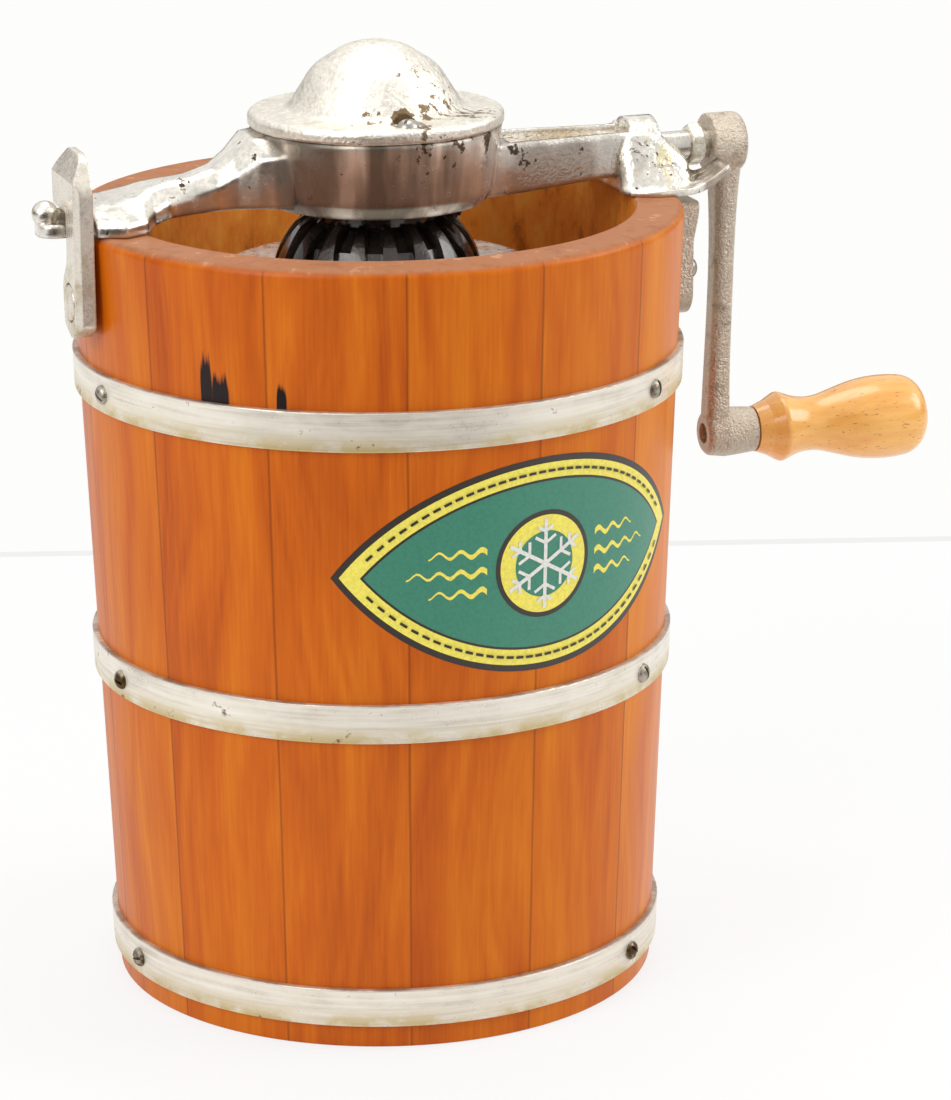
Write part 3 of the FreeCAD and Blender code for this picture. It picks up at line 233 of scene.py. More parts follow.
class Finish:
    """A surface finish: a Principled shader, and short calls that add the nodes which feed it."""

    def __init__(self, name, **sockets):
        self.material = bpy.data.materials.new(name)
        self.material.use_nodes = True
        self.tree = self.material.node_tree
        self.shader = self.tree.nodes["Principled BSDF"]
        for socket, value in sockets.items():
            self.shader.inputs[socket.replace("_", " ")].default_value = value
        self.place = self.add("ShaderNodeTexCoord").outputs["Object"]

    def add(self, kind, links=(), **settings):
        """A node of this material's own tree."""
        return linked(self.tree, kind, links, **settings)

    def stretched(self, scale, turn=0.0, shift=(0, 0, 0), place=None):
        """The place on the object, turned about Z in degrees, then scaled and shifted."""
        turned = self.add("ShaderNodeMapping", [
            ("Vector", place or self.place), ("Rotation", (0, 0, math.radians(turn)))])
        return self.add("ShaderNodeMapping", [
            ("Vector", turned.outputs[0]), ("Scale", scale), ("Location", shift)]).outputs[0]

    def noise(self, place, scale, detail=3.0, rough=0.55, bend=0.0):
        return self.add("ShaderNodeTexNoise", [
            ("Vector", place), ("Scale", scale), ("Detail", detail), ("Roughness", rough),
            ("Distortion", bend)]).outputs["Fac"]

    def grain(self, waves, detail=3.0, rough=0.55, bend=0.0, turn=0.0, shift=(0, 0, 0)):
        """A noise with so many waves to a metre, all ways alike or along X, Y and Z."""
        scale = waves if isinstance(waves, tuple) else (waves,) * 3
        return self.noise(self.stretched(scale, turn, shift), 1.0, detail, rough, bend)

    def from_axis(self):
        """The distance in metres from the tub's upright axis."""
        level = self.add("ShaderNodeVectorMath", [(0, self.place), (1, (1, 1, 0))],
                         operation="MULTIPLY")
        return self.add("ShaderNodeVectorMath", [(0, level.outputs[0])],
                        operation="LENGTH").outputs["Value"]

    def spread(self, value, low, high, to_low=0.0, to_high=1.0):
        """The value run from one range on to another and held at its ends."""
        return self.add("ShaderNodeMapRange", [
            ("Value", value), ("From Min", low), ("From Max", high), ("To Min", to_low),
            ("To Max", to_high)]).outputs[0]

    def sum(self, operation, first, second=0.0, third=0.0):
        return self.add("ShaderNodeMath", [(0, first), (1, second), (2, third)],
                        operation=operation).outputs[0]

    def axes(self, place):
        return self.add("ShaderNodeSeparateXYZ", [(0, place)]).outputs

    def ramp(self, value, stops):
        """Colours along a value, from (position, colour) stops."""
        made = self.add("ShaderNodeValToRGB", [("Fac", value)])
        band = made.color_ramp
        while len(band.elements) < len(stops):
            band.elements.new(0.5)
        for element, (position, colour) in zip(band.elements, stops):
            element.position = position
            element.color = (*colour, 1)
        return made.outputs["Color"]

    def blend(self, share, under, over):
        """One colour or output over another by a share."""
        under, over = (tone if isinstance(tone, bpy.types.NodeSocket) else (*tone, 1)
                       for tone in (under, over))
        return self.add("ShaderNodeMix", [(0, share), (6, under), (7, over)],
                        data_type="RGBA").outputs[2]

    def near(self, point, reach, core=0.3):
        """One about a point, given in metres, that falls to nought at a reach from it."""
        away = self.add("ShaderNodeVectorMath", [(0, self.place), (1, point)],
                        operation="DISTANCE").outputs["Value"]
        return self.spread(away, reach * core, reach, 1.0, 0.0)

    def feed(self, socket, output):
        """Links an output to one of the shader's own sockets."""
        self.tree.links.new(output, self.shader.inputs[socket])

    def colour(self, output):
        self.feed("Base Color", output)

    def gloss(self, output):
        self.feed("Roughness", output)

    def soften(self, radius):
        """Shades edges as if rounded to a radius in metres."""
        made = self.add("ShaderNodeBevel", [("Radius", radius)], samples=6)
        self.feed("Normal", made.outputs[0])

    def relief(self, height, depth, strength=1.0):
        """Adds a bump of that depth in metres on top of the ones before it."""
        made = self.add("ShaderNodeBump", [
            ("Height", height), ("Distance", depth), ("Strength", strength)])
        before = self.shader.inputs["Normal"].links
        if before:
            self.tree.links.new(before[0].from_socket, made.inputs["Normal"])
        self.feed("Normal", made.outputs[0])

    def paint(self, name):
        """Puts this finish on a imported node."""
        node = nodes[name]
        if not node.data.materials:
            node.data.materials.append(self.material)
        for slot in node.material_slots:
            slot.material = self.material


# tone of each stave, from nought (dark) to one (pale), starting at the front and going right round
STAVE_TONES = (0.34, 0.60, 0.80, 0.7, 0.42, 0.6, 0.36, 0.55, 0.45, 0.62, 0.4, 0.46, 0.34, 0.3)
STAIN_DARK = (0.26, 0.036, 0.001)
STAIN_DEEP = (0.45, 0.072, 0.001)
STAIN_WARM = (0.60, 0.122, 0.002)
STAIN_PALE = (0.76, 0.225, 0.006)
RIM_SHADE = (0.33, 0.120, 0.048)
RIM_WOOD = (0.43, 0.170, 0.072)
RIM_SPOT = (0.66, 0.330, 0.17)
JOINT_STAIN = (0.12, 0.020, 0.002)
WATER_BLACK = (0.018, 0.010, 0.010)
INSIDE_PAINTED_LIGHT = (0.90, 0.34, 0.05)
INSIDE_PALE = (0.90, 0.42, 0.07)
INSIDE_DARK = (0.22, 0.055, 0.006)
# waves of each pattern to a metre, along a board's thickness, width and length
SWAY = (14, 14, 5)
FIBRE = (900, 900, 16)
CLOUD = (22, 22, 9)
RAGGED = (700, 700, 24)
MOTTLE = (90, 90, 45)
SPECK = 160
GROWTH = 130.0
# how much the growth rings wander sideways, how far they are drawn out, and each pattern's share
RING_SWAY = 0.055
RING_STRETCH = 0.06
GROWTH_SHARE = 0.42
FIBRE_SHARE = 0.20
CLOUD_SHARE = 0.34
TONE_SHARE = 0.30
WATER_MARKS = (
    # stave, offset across it, foot height, length upwards, half width: black streaks over a hoop
    (13, 0.0010, 0.2128, 0.021, 0.0030),
    (13, 0.0062, 0.2128, 0.014, 0.0042),
    (14, -0.0170, 0.2128, 0.011, 0.0022),
)


def stave_finish(index):
    """Flat sawn grain that follows one board, darker at its edges and rim, and painted lighter
    inside to make up for the shade in the tub.
    """
    turn = -(-90 + index * STAVE_TURN)
    wood = Finish(f"stained_wood_{index + 1:02d}", Roughness=0.4, Coat_Weight=0.06,
                  Coat_Roughness=0.2, Specular_IOR_Level=0.2)
    board = wood.stretched((1, 1, 1), turn)
    thick, across, along = wood.axes(board)
    shift = (0.37 * index, 1.3 * index, 0.71 * index)
    lie = {"turn": turn, "shift": shift}
    bent = wood.sum("MULTIPLY_ADD", wood.grain(SWAY, 2.0, **lie), RING_SWAY, across)
    rings = wood.add("ShaderNodeCombineXYZ", [
        ("X", thick), ("Y", bent), ("Z", wood.sum("MULTIPLY", along, RING_STRETCH))]).outputs[0]
    growth = wood.noise(wood.stretched((1, 1, 1), 0, shift, rings), GROWTH, 2.0, 0.5)
    fibre = wood.grain(FIBRE, 3.0, 0.6, **lie)
    cloud = wood.grain(CLOUD, 4.0, 0.6, **lie)
    value = TONE_SHARE * STAVE_TONES[index] + 0.02
    for pattern, part in ((growth, GROWTH_SHARE), (fibre, FIBRE_SHARE), (cloud, CLOUD_SHARE)):
        value = wood.sum("MULTIPLY_ADD", pattern, part, value)
    body = wood.ramp(value, [
        (0.30, STAIN_DARK), (0.46, STAIN_DEEP), (0.60, STAIN_WARM), (0.82, STAIN_PALE)])

    # stain gathers in the joints
    half = math.pi / STAVE_COUNT
    sideways = wood.sum("ABSOLUTE", wood.sum("ARCTAN2", across, thick))
    edge = wood.spread(sideways, half - 0.006, half - 0.001)
    body = wood.blend(wood.sum("MULTIPLY", edge, 0.5), body, JOINT_STAIN)

    # black marks where water stood above the hoops
    for stave, side, foot, tall, half_wide in WATER_MARKS:
        if stave != index + 1:
            continue
        ragged = wood.grain(RAGGED, 2.0, **lie)
        rise = wood.spread(along, foot + tall * 0.35, foot + tall, 1.0, 0.0)
        above = wood.spread(along, foot - 0.0006, foot)
        near = wood.spread(wood.sum("ABSOLUTE", wood.sum("SUBTRACT", across, side)),
                           half_wide * 0.5, half_wide, 1.0, 0.0)
        mark = wood.sum("MULTIPLY", wood.sum("MULTIPLY", rise, near), above)
        mark = wood.spread(wood.sum("ADD", mark, ragged), 0.92, 1.22)
        body = wood.blend(mark, body, WATER_BLACK)

    # the rim is bare end grain, and the inside is duller and mottled, its colour painted lighter to
    # make up for the shade inside the tub
    up = wood.axes(wood.add("ShaderNodeNewGeometry").outputs["Normal"])[2]
    end_grain = wood.ramp(wood.grain(SPECK, 5.0, 0.6, **lie), [
        (0.3, RIM_SHADE), (0.47, RIM_WOOD), (0.6, RIM_WOOD), (0.7, RIM_SPOT)])
    on_rim = wood.spread(up, 0.45, 0.85)
    body = wood.blend(on_rim, body, end_grain)
    inside = TUB_TOP_RADIUS - TUB_WALL
    inner = wood.spread(wood.from_axis(), inside + 0.0004, inside + 0.0022, 1.0, 0.0)
    inner = wood.sum("MULTIPLY", inner, wood.spread(up, 0.3, 0.5, 1.0, 0.0))
    mottle = wood.grain(MOTTLE, 5.0, 0.7, **lie)
    # painted light: the inside is taken half way to a bright wash to make up for the shade it gets
    lightened_inside = wood.blend(0.5, body, INSIDE_PAINTED_LIGHT)
    lightened_inside = wood.blend(wood.spread(mottle, 0.48, 0.68, 0.0, 0.75), lightened_inside, INSIDE_PALE)
    lightened_inside = wood.blend(wood.spread(mottle, 0.46, 0.34, 0.0, 0.6), lightened_inside, INSIDE_DARK)
    body = wood.blend(inner, body, lightened_inside)
    wood.colour(body)
    worn = wood.spread(cloud, 0.3, 0.75, 0.32, 0.48)
    wood.gloss(wood.blend(wood.sum("MAXIMUM", on_rim, inner), worn, (0.62, 0.62, 0.62)))
    wood.relief(fibre, 0.00006, 0.8)
    wood.relief(growth, 0.00012, 0.6)
    return wood


for index in range(STAVE_COUNT):
    stave_finish(index).paint(f"stave_{index + 1:02d}")

board_wood = Finish("board_wood", Roughness=0.6)
board_grain = board_wood.grain((30, 700, 30))
board_wood.colour(board_wood.ramp(board_grain, [
    (0.3, STAIN_DARK), (0.55, STAIN_DEEP), (0.8, STAIN_WARM)]))
board_wood.relief(board_grain, 0.0001)
board_wood.paint("tub_bottom")


# Hoops: three plated steel straps, riveted into rings and driven up the taper. Their plating is
# dull and streaked and yellowed along the lower edge, with a painted shade line along the upper
# edge where it meets the wood.

HOOPS = ("hoop_top", "hoop_middle", "hoop_bottom")
HOOP_STEEL = (0.86, 0.80, 0.69)
HOOP_DULL = (0.60, 0.54, 0.45)
HOOP_BRIGHT = (0.97, 0.94, 0.86)
HOOP_YELLOW = (0.58, 0.45, 0.19)
HOOP_RUST_AND_SHADE = (0.16, 0.055, 0.015)


def hoop_finish(hoop):
    """Streaks run along the strap, a yellow stain follows its lower edge, and painted shade its
    upper edge.
    """
    low, high = (corner.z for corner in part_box(hoop))
    steel = Finish(f"hoop_steel_{hoop}", Roughness=0.4)
    streak = steel.grain((26, 26, 900))
    blotch = steel.grain((55, 55, 90), 5.0, 0.65, shift=(0, 0, low * 40))
    fine = steel.grain(420, 4.0, 0.6)
    height = steel.axes(steel.place)[2]
    body = steel.ramp(steel.sum("MULTIPLY_ADD", streak, 0.5, steel.sum("MULTIPLY", blotch, 0.5)), [
        (0.30, HOOP_DULL), (0.50, HOOP_STEEL), (0.72, HOOP_BRIGHT)])
    lower = steel.spread(height, low + 0.001, low + 0.0068, 1.0, 0.0)
    lower = steel.sum("MULTIPLY", lower, steel.spread(blotch, 0.38, 0.56))
    body = steel.blend(steel.sum("MULTIPLY", lower, 0.9), body, HOOP_YELLOW)
    # painted shade: a dark line, blotched like rust, along the upper edge where the strap meets the
    # wood
    upper_edge_shade = steel.spread(height, high - 0.0006, high - 0.0001)
    upper_edge_shade = steel.sum("MULTIPLY", upper_edge_shade, steel.spread(blotch, 0.40, 0.60, 0.1, 0.7))
    body = steel.blend(upper_edge_shade, body, HOOP_RUST_AND_SHADE)
    rust = steel.spread(steel.sum("MULTIPLY_ADD", fine, 0.4, steel.sum("MULTIPLY", blotch, 0.7)),
                        0.68, 0.74)
    body = steel.blend(rust, body, HOOP_RUST_AND_SHADE)
    steel.colour(body)
    steel.gloss(steel.spread(steel.sum("ADD", blotch, fine), 0.7, 1.3, 0.24, 0.5))
    steel.feed("Metallic", steel.spread(rust, 0.0, 1.0, 0.35, 0.05))
    steel.relief(streak, 0.00005, 0.7)
    steel.relief(blotch, 0.0003, 0.5)
    return steel


for hoop in HOOPS:
    hoop_finish(hoop).paint(hoop)


# Hoop screws: nine small round-headed steel screws, three to a hoop, driven through the strap
# into the staves by hand, so their slots point every way, and dirt stays in them.

HOOP_SCREW_ANGLES = (-169.5, -46.5, 72)
HOOP_SCREW_HEAD = 0.0032
HOOP_SCREW_RISE = 0.0021
HOOP_SCREW_SLOT = 0.0009
SLOT_CUTTER = 0.02
SCREW_TWIST = 67
STRAP_THICKNESS = 0.00206
SWELL = 60
METAL_SHADE = 0.72


def sockets_in(tree, **inputs):
    """Declares a node tree's geometry sockets and its named size inputs."""
    tree.interface.new_socket("Geometry", in_out="INPUT", socket_type="NodeSocketGeometry")
    for name, value in inputs.items():
        made = tree.interface.new_socket(name, in_out="INPUT", socket_type="NodeSocketFloat")
        made.default_value = value
    tree.interface.new_socket("Geometry", in_out="OUTPUT", socket_type="NodeSocketGeometry")


def screw_tree(material):
    """Puts a slotted round head on each point, facing along the point's own direction."""
    tree = bpy.data.node_groups.new("slotted_screws", "GeometryNodeTree")
    sockets_in(tree, head_radius=HOOP_SCREW_HEAD, head_rise=HOOP_SCREW_RISE,
               slot_width=HOOP_SCREW_SLOT)
    given = tree.nodes.new("NodeGroupInput").outputs
    ball = linked(tree, "GeometryNodeMeshUVSphere", [
        ("Segments", 28), ("Rings", 14), ("Radius", given["head_radius"])])
    flatten = linked(tree, "ShaderNodeMath", [(0, given["head_rise"]), (1, given["head_radius"])],
                     operation="DIVIDE")
    scale = linked(tree, "ShaderNodeCombineXYZ", [
        ("X", 1.0), ("Y", 1.0), ("Z", flatten.outputs[0])])
    dome = linked(tree, "GeometryNodeTransform", [
        ("Geometry", ball.outputs["Mesh"]), ("Scale", scale.outputs[0])])
    slot_size = linked(tree, "ShaderNodeCombineXYZ", [
        ("X", SLOT_CUTTER), ("Y", given["slot_width"]), ("Z", given["head_rise"])])
    bar = linked(tree, "GeometryNodeMeshCube", [("Size", slot_size.outputs[0])])
    lift = linked(tree, "ShaderNodeCombineXYZ", [("Z", given["head_rise"])])
    raised = linked(tree, "GeometryNodeTransform", [
        ("Geometry", bar.outputs["Mesh"]), ("Translation", lift.outputs[0])])
    cut = linked(tree, "GeometryNodeMeshBoolean", [
        (0, dome.outputs[0]), (1, raised.outputs[0])], operation="DIFFERENCE")
    facing = linked(tree, "GeometryNodeInputNamedAttribute", [("Name", "facing")],
                    data_type="FLOAT_VECTOR")
    spin = linked(tree, "GeometryNodeInputNamedAttribute", [("Name", "spin")], data_type="FLOAT")
    aim = linked(tree, "FunctionNodeAlignRotationToVector", [("Vector", facing.outputs[0])],
                 axis="Z")
    twist = linked(tree, "FunctionNodeAxisAngleToRotation", [
        ("Axis", (0, 0, 1)), ("Angle", spin.outputs[0])])
    turned = linked(tree, "FunctionNodeRotateRotation", [
        (0, aim.outputs[0]), (1, twist.outputs[0])], rotation_space="LOCAL")
    heads = linked(tree, "GeometryNodeInstanceOnPoints", [
        ("Points", given["Geometry"]), ("Instance", cut.outputs[0]),
        ("Rotation", turned.outputs[0])])
    whole = linked(tree, "GeometryNodeRealizeInstances", [(0, heads.outputs[0])])
    coated = linked(tree, "GeometryNodeSetMaterial", [
        ("Geometry", whole.outputs[0]), ("Material", material)])
    linked(tree, "NodeGroupOutput", [("Geometry", coated.outputs[0])])
    return tree


def grown(name, mesh, tree, sizes, body):
    """One plain mesh made by a node tree from a starting mesh. It rides on a body."""
    seed = bpy.data.objects.new(name + "_seed", mesh)
    scene.collection.objects.link(seed)
    modifier = seed.modifiers.new("grow", "NODES")
    modifier.node_group = tree
    for item in tree.interface.items_tree:
        if item.name in sizes and item.in_out == "INPUT":
            modifier[item.identifier] = sizes[item.name]
    result = bpy.data.meshes.new_from_object(
        seed.evaluated_get(bpy.context.evaluated_depsgraph_get()))
    seed.modifiers.remove(modifier)
    bpy.data.objects.remove(seed)
    result.name = name
    piece = bpy.data.objects.new(name, result)
    scene.collection.objects.link(piece)
    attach(piece, body)
    return piece


def tub_radius_at(height):
    """The outer radius of the tapered tub at a height."""
    return TUB_BASE_RADIUS + (TUB_TOP_RADIUS - TUB_BASE_RADIUS) * height / RIM_HEIGHT


def plated_finish(name, tint, dirt, rough=(0.2, 0.4), grain=500.0, depth=0.00005,
                  patches=(0.62, 0.72), metallic=1.0, undulation=0.0003, worn_places=(),
                  speckle=95.0, edge=0.0):
    """Plated or bare metal: a tint, dirt or flaked plating in patches, and a cast or drawn skin.
    Worn places are (point in metres, reach, weight), where there is more of the dirt."""
    metal = Finish(name, Metallic=metallic)
    skin = metal.grain(grain, 3.0, 0.6)
    patch = metal.grain(speckle, 6.0, 0.65)
    swell = metal.grain(SWELL, 2.0)
    tone = metal.ramp(metal.sum("MULTIPLY_ADD", skin, 0.4, metal.sum("MULTIPLY", patch, 0.6)), [
        (0.35, tuple(METAL_SHADE * channel for channel in tint)), (0.6, tint)])
    worn = patch
    for point, reach, weight in worn_places:
        worn = metal.sum("MULTIPLY_ADD", metal.near(point, reach), weight, worn)
    flaked = metal.spread(worn, *patches)
    metal.tone = metal.blend(flaked, tone, dirt)
    metal.flaked = flaked
    metal.colour(metal.tone)
    metal.gloss(metal.spread(metal.sum("ADD", patch, skin), 0.7, 1.3, *rough))
    if edge:
        metal.soften(edge)
    metal.relief(skin, depth)
    metal.relief(swell, undulation, 0.6)
    return metal


screw_steel = plated_finish("screw_steel", (0.55, 0.50, 0.42), (0.10, 0.06, 0.025), (0.3, 0.5),
                            patches=(0.46, 0.58))
screw_places = []
screw_facings = []
screw_spins = []
for hoop in HOOPS:
    low, high = (corner.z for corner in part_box(hoop))
    middle = (low + high) / 2
    out = tub_radius_at(middle) + STRAP_THICKNESS
    for angle in HOOP_SCREW_ANGLES:
        facing = Vector((math.cos(math.radians(angle)), math.sin(math.radians(angle)), 0))
        screw_places.append(facing * out + Vector((0, 0, middle)))
        screw_facings.append(facing)
        screw_spins.append(math.radians(len(screw_places) * SCREW_TWIST % 180))
screw_points = bpy.data.meshes.new("screw_points")
screw_points.from_pydata(screw_places, [], [])
screw_points.attributes.new("facing", "FLOAT_VECTOR", "POINT")
screw_points.attributes.new("spin", "FLOAT", "POINT")
for index, facing in enumerate(screw_facings):
    screw_points.attributes["facing"].data[index].vector = facing
    screw_points.attributes["spin"].data[index].value = screw_spins[index]
hoop_screws = grown("hoop_screws", screw_points, screw_tree(screw_steel.material), {}, "tub")
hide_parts("hoop_top_screws", "hoop_middle_screws", "hoop_bottom_screws")


# Label: a printed sheet in the form of a pointed oval, glued round the tub between the upper two
# hoops. Its design is a plain stock one: dark edge, yellow band, green field, disc and crystal.

LABEL_TURN = math.radians(-75.7)
LABEL_HEIGHT = 0.1597
LABEL_HALF_WIDE = 0.0700
LABEL_HALF_TALL = 0.0350
LABEL_LIFT = 0.00014
LABEL_STEP = 0.00005
LABEL_TAPER = 0.0388
LABEL_COLUMNS = 72
LABEL_ROWS = 8
SHORT_OF_POINT = 0.9999
LABEL_INKS = {
    "label_dark": (0.040, 0.030, 0.022),
    "label_yellow": (0.97, 0.84, 0.115),
    "label_green": (0.045, 0.255, 0.165),
    "label_cream": (0.85, 0.84, 0.78),
}
# ink and inset from the outline, from the lowest layer up
LABEL_LAYERS = (("label_dark", 0.0), ("label_yellow", 0.0021), ("label_dark", 0.0072),
                ("label_green", 0.0080))
DISC_LAYERS = (("label_dark", 0.0176), ("label_yellow", 0.0160), ("label_green", 0.0108))
DISC_COLUMNS = 32
DISC_ROWS = 6
# the ripples' heights, where they start, the middle one's run, how much less the others run, the
# swing of the wave and half the width of the line
RIPPLES = (0.0065, 0.0, -0.0065)
RIPPLE_START = 0.0205
RIPPLE_RUN = 0.026
RIPPLE_LESS = 0.007
RIPPLE_SWING = 0.0011
RIPPLE_HALF = 0.0010
RIPPLE_COLUMNS = 24
BEAD_INSET = 0.0047
BEAD_COUNT = 34
BEAD_REACH = 0.93
SLOPE_STEP = 0.0001
# the crystal's barbs: where along the arm, and how long, as shares of the arm
BARBS = ((0.46, 0.30), (0.72, 0.22))
BARB_LEAN = math.radians(60)
# the middle of a barb that leans so, along and aside, as shares of its length
BARB_ALONG = 0.25
BARB_ASIDE = 0.433
INK_SHADE = 0.82
INK_MOTTLE = 900


def label_ink(name, tint):
    """Printing ink on glazed paper: a faint mottle and a soft sheen."""
    ink = Finish(name, Roughness=0.45, Coat_Weight=0.2, Coat_Roughness=0.25)
    mottle = ink.grain(INK_MOTTLE, 4.0, 0.6)
    shade = tuple(INK_SHADE * channel for channel in tint)
    ink.colour(ink.ramp(mottle, [(0.3, shade), (0.6, tint)]))
    ink.relief(mottle, 0.00002)
    return ink.material


def half_outline(inset):
    """Half the width of an inset pointed oval, and a call for half its height at a place across."""
    bow = (LABEL_HALF_WIDE ** 2 + LABEL_HALF_TALL ** 2) / (2 * LABEL_HALF_TALL)
    sink = bow - LABEL_HALF_TALL
    reach = math.sqrt((bow - inset) ** 2 - sink ** 2)
    return reach, lambda across: math.sqrt(max((bow - inset) ** 2 - across ** 2, 0)) - sink


def add_strip(build, columns, rows, slot, lift):
    """A sheet of quads: each column is its place across with its lowest and highest points."""
    grid = [[build.verts.new((across, low + (high - low) * row / rows, lift))
             for row in range(rows + 1)] for across, low, high in columns]
    for left, right in zip(grid, grid[1:]):
        for row in range(rows):
            face = build.faces.new((left[row], right[row], right[row + 1], left[row + 1]))
            face.material_index = slot


def label_sheet(inks):
    """The flat label before it is bent: stacked layers of ink, and ripples beside the disc."""
    build = bmesh.new()
    names = list(LABEL_INKS)
    lift = LABEL_LIFT
    for ink, inset in LABEL_LAYERS:
        reach, height_at = half_outline(inset)
        columns = []
        for column in range(LABEL_COLUMNS + 1):
            across = reach * SHORT_OF_POINT * (2 * column / LABEL_COLUMNS - 1)
            columns.append((across, -height_at(across), height_at(across)))
        add_strip(build, columns, LABEL_ROWS, names.index(ink), lift)
        lift += LABEL_STEP
    for ink, radius in DISC_LAYERS:
        columns = []
        for column in range(DISC_COLUMNS + 1):
            step = -math.cos(math.pi * column / DISC_COLUMNS)
            rise = radius * math.sqrt(1 - step * step)
            columns.append((radius * step, -rise, rise))
        add_strip(build, columns, DISC_ROWS, names.index(ink), lift)
        lift += LABEL_STEP
    for side in (-1, 1):
        for line, middle in enumerate(RIPPLES):
            run = RIPPLE_RUN - RIPPLE_LESS * abs(line - 1)
            columns = []
            for column in range(RIPPLE_COLUMNS + 1):
                share = column / RIPPLE_COLUMNS
                across = RIPPLE_START + share * run
                rise = middle + RIPPLE_SWING * math.sin(share * run / RIPPLE_SWING)
                half = RIPPLE_HALF * (1 - 0.75 * share)
                columns.append((side * across, rise - half, rise + half))
            add_strip(build, columns if side > 0 else columns[::-1], 1, names.index("label_yellow"),
                      LABEL_LIFT + 4 * LABEL_STEP)
    mesh = bpy.data.meshes.new("label_flat")
    build.to_mesh(mesh)
    build.free()
    for ink in inks:
        mesh.materials.append(ink)
    return mesh


def bead_line(inset, beads):
    """Places along an inset outline for the band's beads, each with its own direction."""
    reach, height_at = half_outline(inset)
    points = []
    for side in (-1, 1):
        for bead in range(beads):
            across = reach * BEAD_REACH * (2 * (bead + 0.5) / beads - 1)
            climb = height_at(across + SLOPE_STEP) - height_at(across - SLOPE_STEP)
            slope = climb / (2 * SLOPE_STEP)
            points.append(((across, side * height_at(across), 0), math.atan(side * slope)))
    return points


def label_tree(crystal_ink, bead_ink):
    """Adds a six-armed crystal and the band's beads to a flat label, then bends all of it round
    the tub's cone."""
    tree = bpy.data.node_groups.new("wrapped_label", "GeometryNodeTree")
    sockets_in(tree, arm_length=0.0148, arm_width=0.0013, bead_length=0.0026, bead_width=0.0009,
               lift=LABEL_LIFT + 8 * LABEL_STEP, tub_radius=tub_radius_at(LABEL_HEIGHT),
               taper=LABEL_TAPER, turn=LABEL_TURN, height=LABEL_HEIGHT)
    given = tree.nodes.new("NodeGroupInput").outputs

    def maths(operation, first, second=0.0, third=0.0):
        return linked(tree, "ShaderNodeMath", [(0, first), (1, second), (2, third)],
                      operation=operation).outputs[0]

    def vector(x=0.0, y=0.0, z=0.0):
        return linked(tree, "ShaderNodeCombineXYZ", [("X", x), ("Y", y), ("Z", z)]).outputs[0]

    def bar(length, width, pieces):
        sheet = linked(tree, "GeometryNodeMeshGrid", [
            ("Size X", length), ("Size Y", width), ("Vertices X", pieces), ("Vertices Y", 2)])
        return sheet.outputs["Mesh"]

    def moved(geometry, place, turn=0.0):
        return linked(tree, "GeometryNodeTransform", [
            ("Geometry", geometry), ("Translation", place),
            ("Rotation", vector(z=turn))]).outputs[0]

    def together(*parts):
        made = linked(tree, "GeometryNodeJoinGeometry")
        for part in parts:
            tree.links.new(part, made.inputs[0])
        return made.outputs[0]

    # one arm of the crystal, with two pairs of barbs, then six of them
    length, width = given["arm_length"], given["arm_width"]
    parts = [moved(bar(length, width, 8), vector(x=maths("MULTIPLY", length, 0.5)))]
    for station, share in BARBS:
        for side in (-1, 1):
            reach = maths("MULTIPLY", length, share)
            along = maths("MULTIPLY_ADD", reach, BARB_ALONG, maths("MULTIPLY", length, station))
            across = maths("MULTIPLY", reach, BARB_ASIDE * side)
            barb = bar(reach, maths("MULTIPLY", width, 0.8), 3)
            parts.append(moved(barb, vector(along, across), side * BARB_LEAN))
    arm = together(*parts)
    hub = linked(tree, "GeometryNodePoints", [("Count", 6)])
    order = linked(tree, "GeometryNodeInputIndex")
    sixth = maths("MULTIPLY_ADD", order.outputs[0], math.pi / 3, math.pi / 6)
    spoke = linked(tree, "FunctionNodeAxisAngleToRotation", [("Axis", (0, 0, 1)), ("Angle", sixth)])
    arms = linked(tree, "GeometryNodeInstanceOnPoints", [
        ("Points", hub.outputs[0]), ("Instance", arm), ("Rotation", spoke.outputs[0])])
    crystal = linked(tree, "GeometryNodeSetMaterial", [
        ("Geometry", moved(arms.outputs[0], vector(z=given["lift"]))), ("Material", crystal_ink)])

    # beads stand on the loose points that come in with the label
    lean = linked(tree, "GeometryNodeInputNamedAttribute", [("Name", "lean")], data_type="FLOAT")
    marked = linked(tree, "GeometryNodeInputNamedAttribute", [("Name", "is_bead")],
                    data_type="BOOLEAN")
    split = linked(tree, "GeometryNodeSeparateGeometry", [
        ("Geometry", given["Geometry"]), ("Selection", marked.outputs[0])], domain="POINT")
    level = linked(tree, "FunctionNodeAxisAngleToRotation", [
        ("Axis", (0, 0, 1)), ("Angle", lean.outputs[0])])
    bead = bar(given["bead_length"], given["bead_width"], 2)
    beads = linked(tree, "GeometryNodeInstanceOnPoints", [
        ("Points", split.outputs["Selection"]), ("Instance", bead),
        ("Rotation", level.outputs[0])])
    inked = linked(tree, "GeometryNodeSetMaterial", [
        ("Geometry", moved(beads.outputs[0], vector(z=given["lift"]))), ("Material", bead_ink)])
    whole = linked(tree, "GeometryNodeRealizeInstances", [
        (0, together(split.outputs["Inverted"], crystal.outputs[0], inked.outputs[0]))])

    # across becomes an angle round the tub, up stays up, and the lift stands off the wood
    position = linked(tree, "GeometryNodeInputPosition").outputs[0]
    across, up, off = linked(tree, "ShaderNodeSeparateXYZ", [(0, position)]).outputs
    angle = maths("ADD", maths("DIVIDE", across, given["tub_radius"]), given["turn"])
    out = maths("ADD", maths("MULTIPLY_ADD", up, given["taper"], given["tub_radius"]), off)
    bent = linked(tree, "GeometryNodeSetPosition", [
        ("Geometry", whole.outputs[0]),
        ("Position", vector(maths("MULTIPLY", maths("COSINE", angle), out),
                            maths("MULTIPLY", maths("SINE", angle), out),
                            maths("ADD", up, given["height"])))])
    linked(tree, "NodeGroupOutput", [("Geometry", bent.outputs[0])])
    return tree


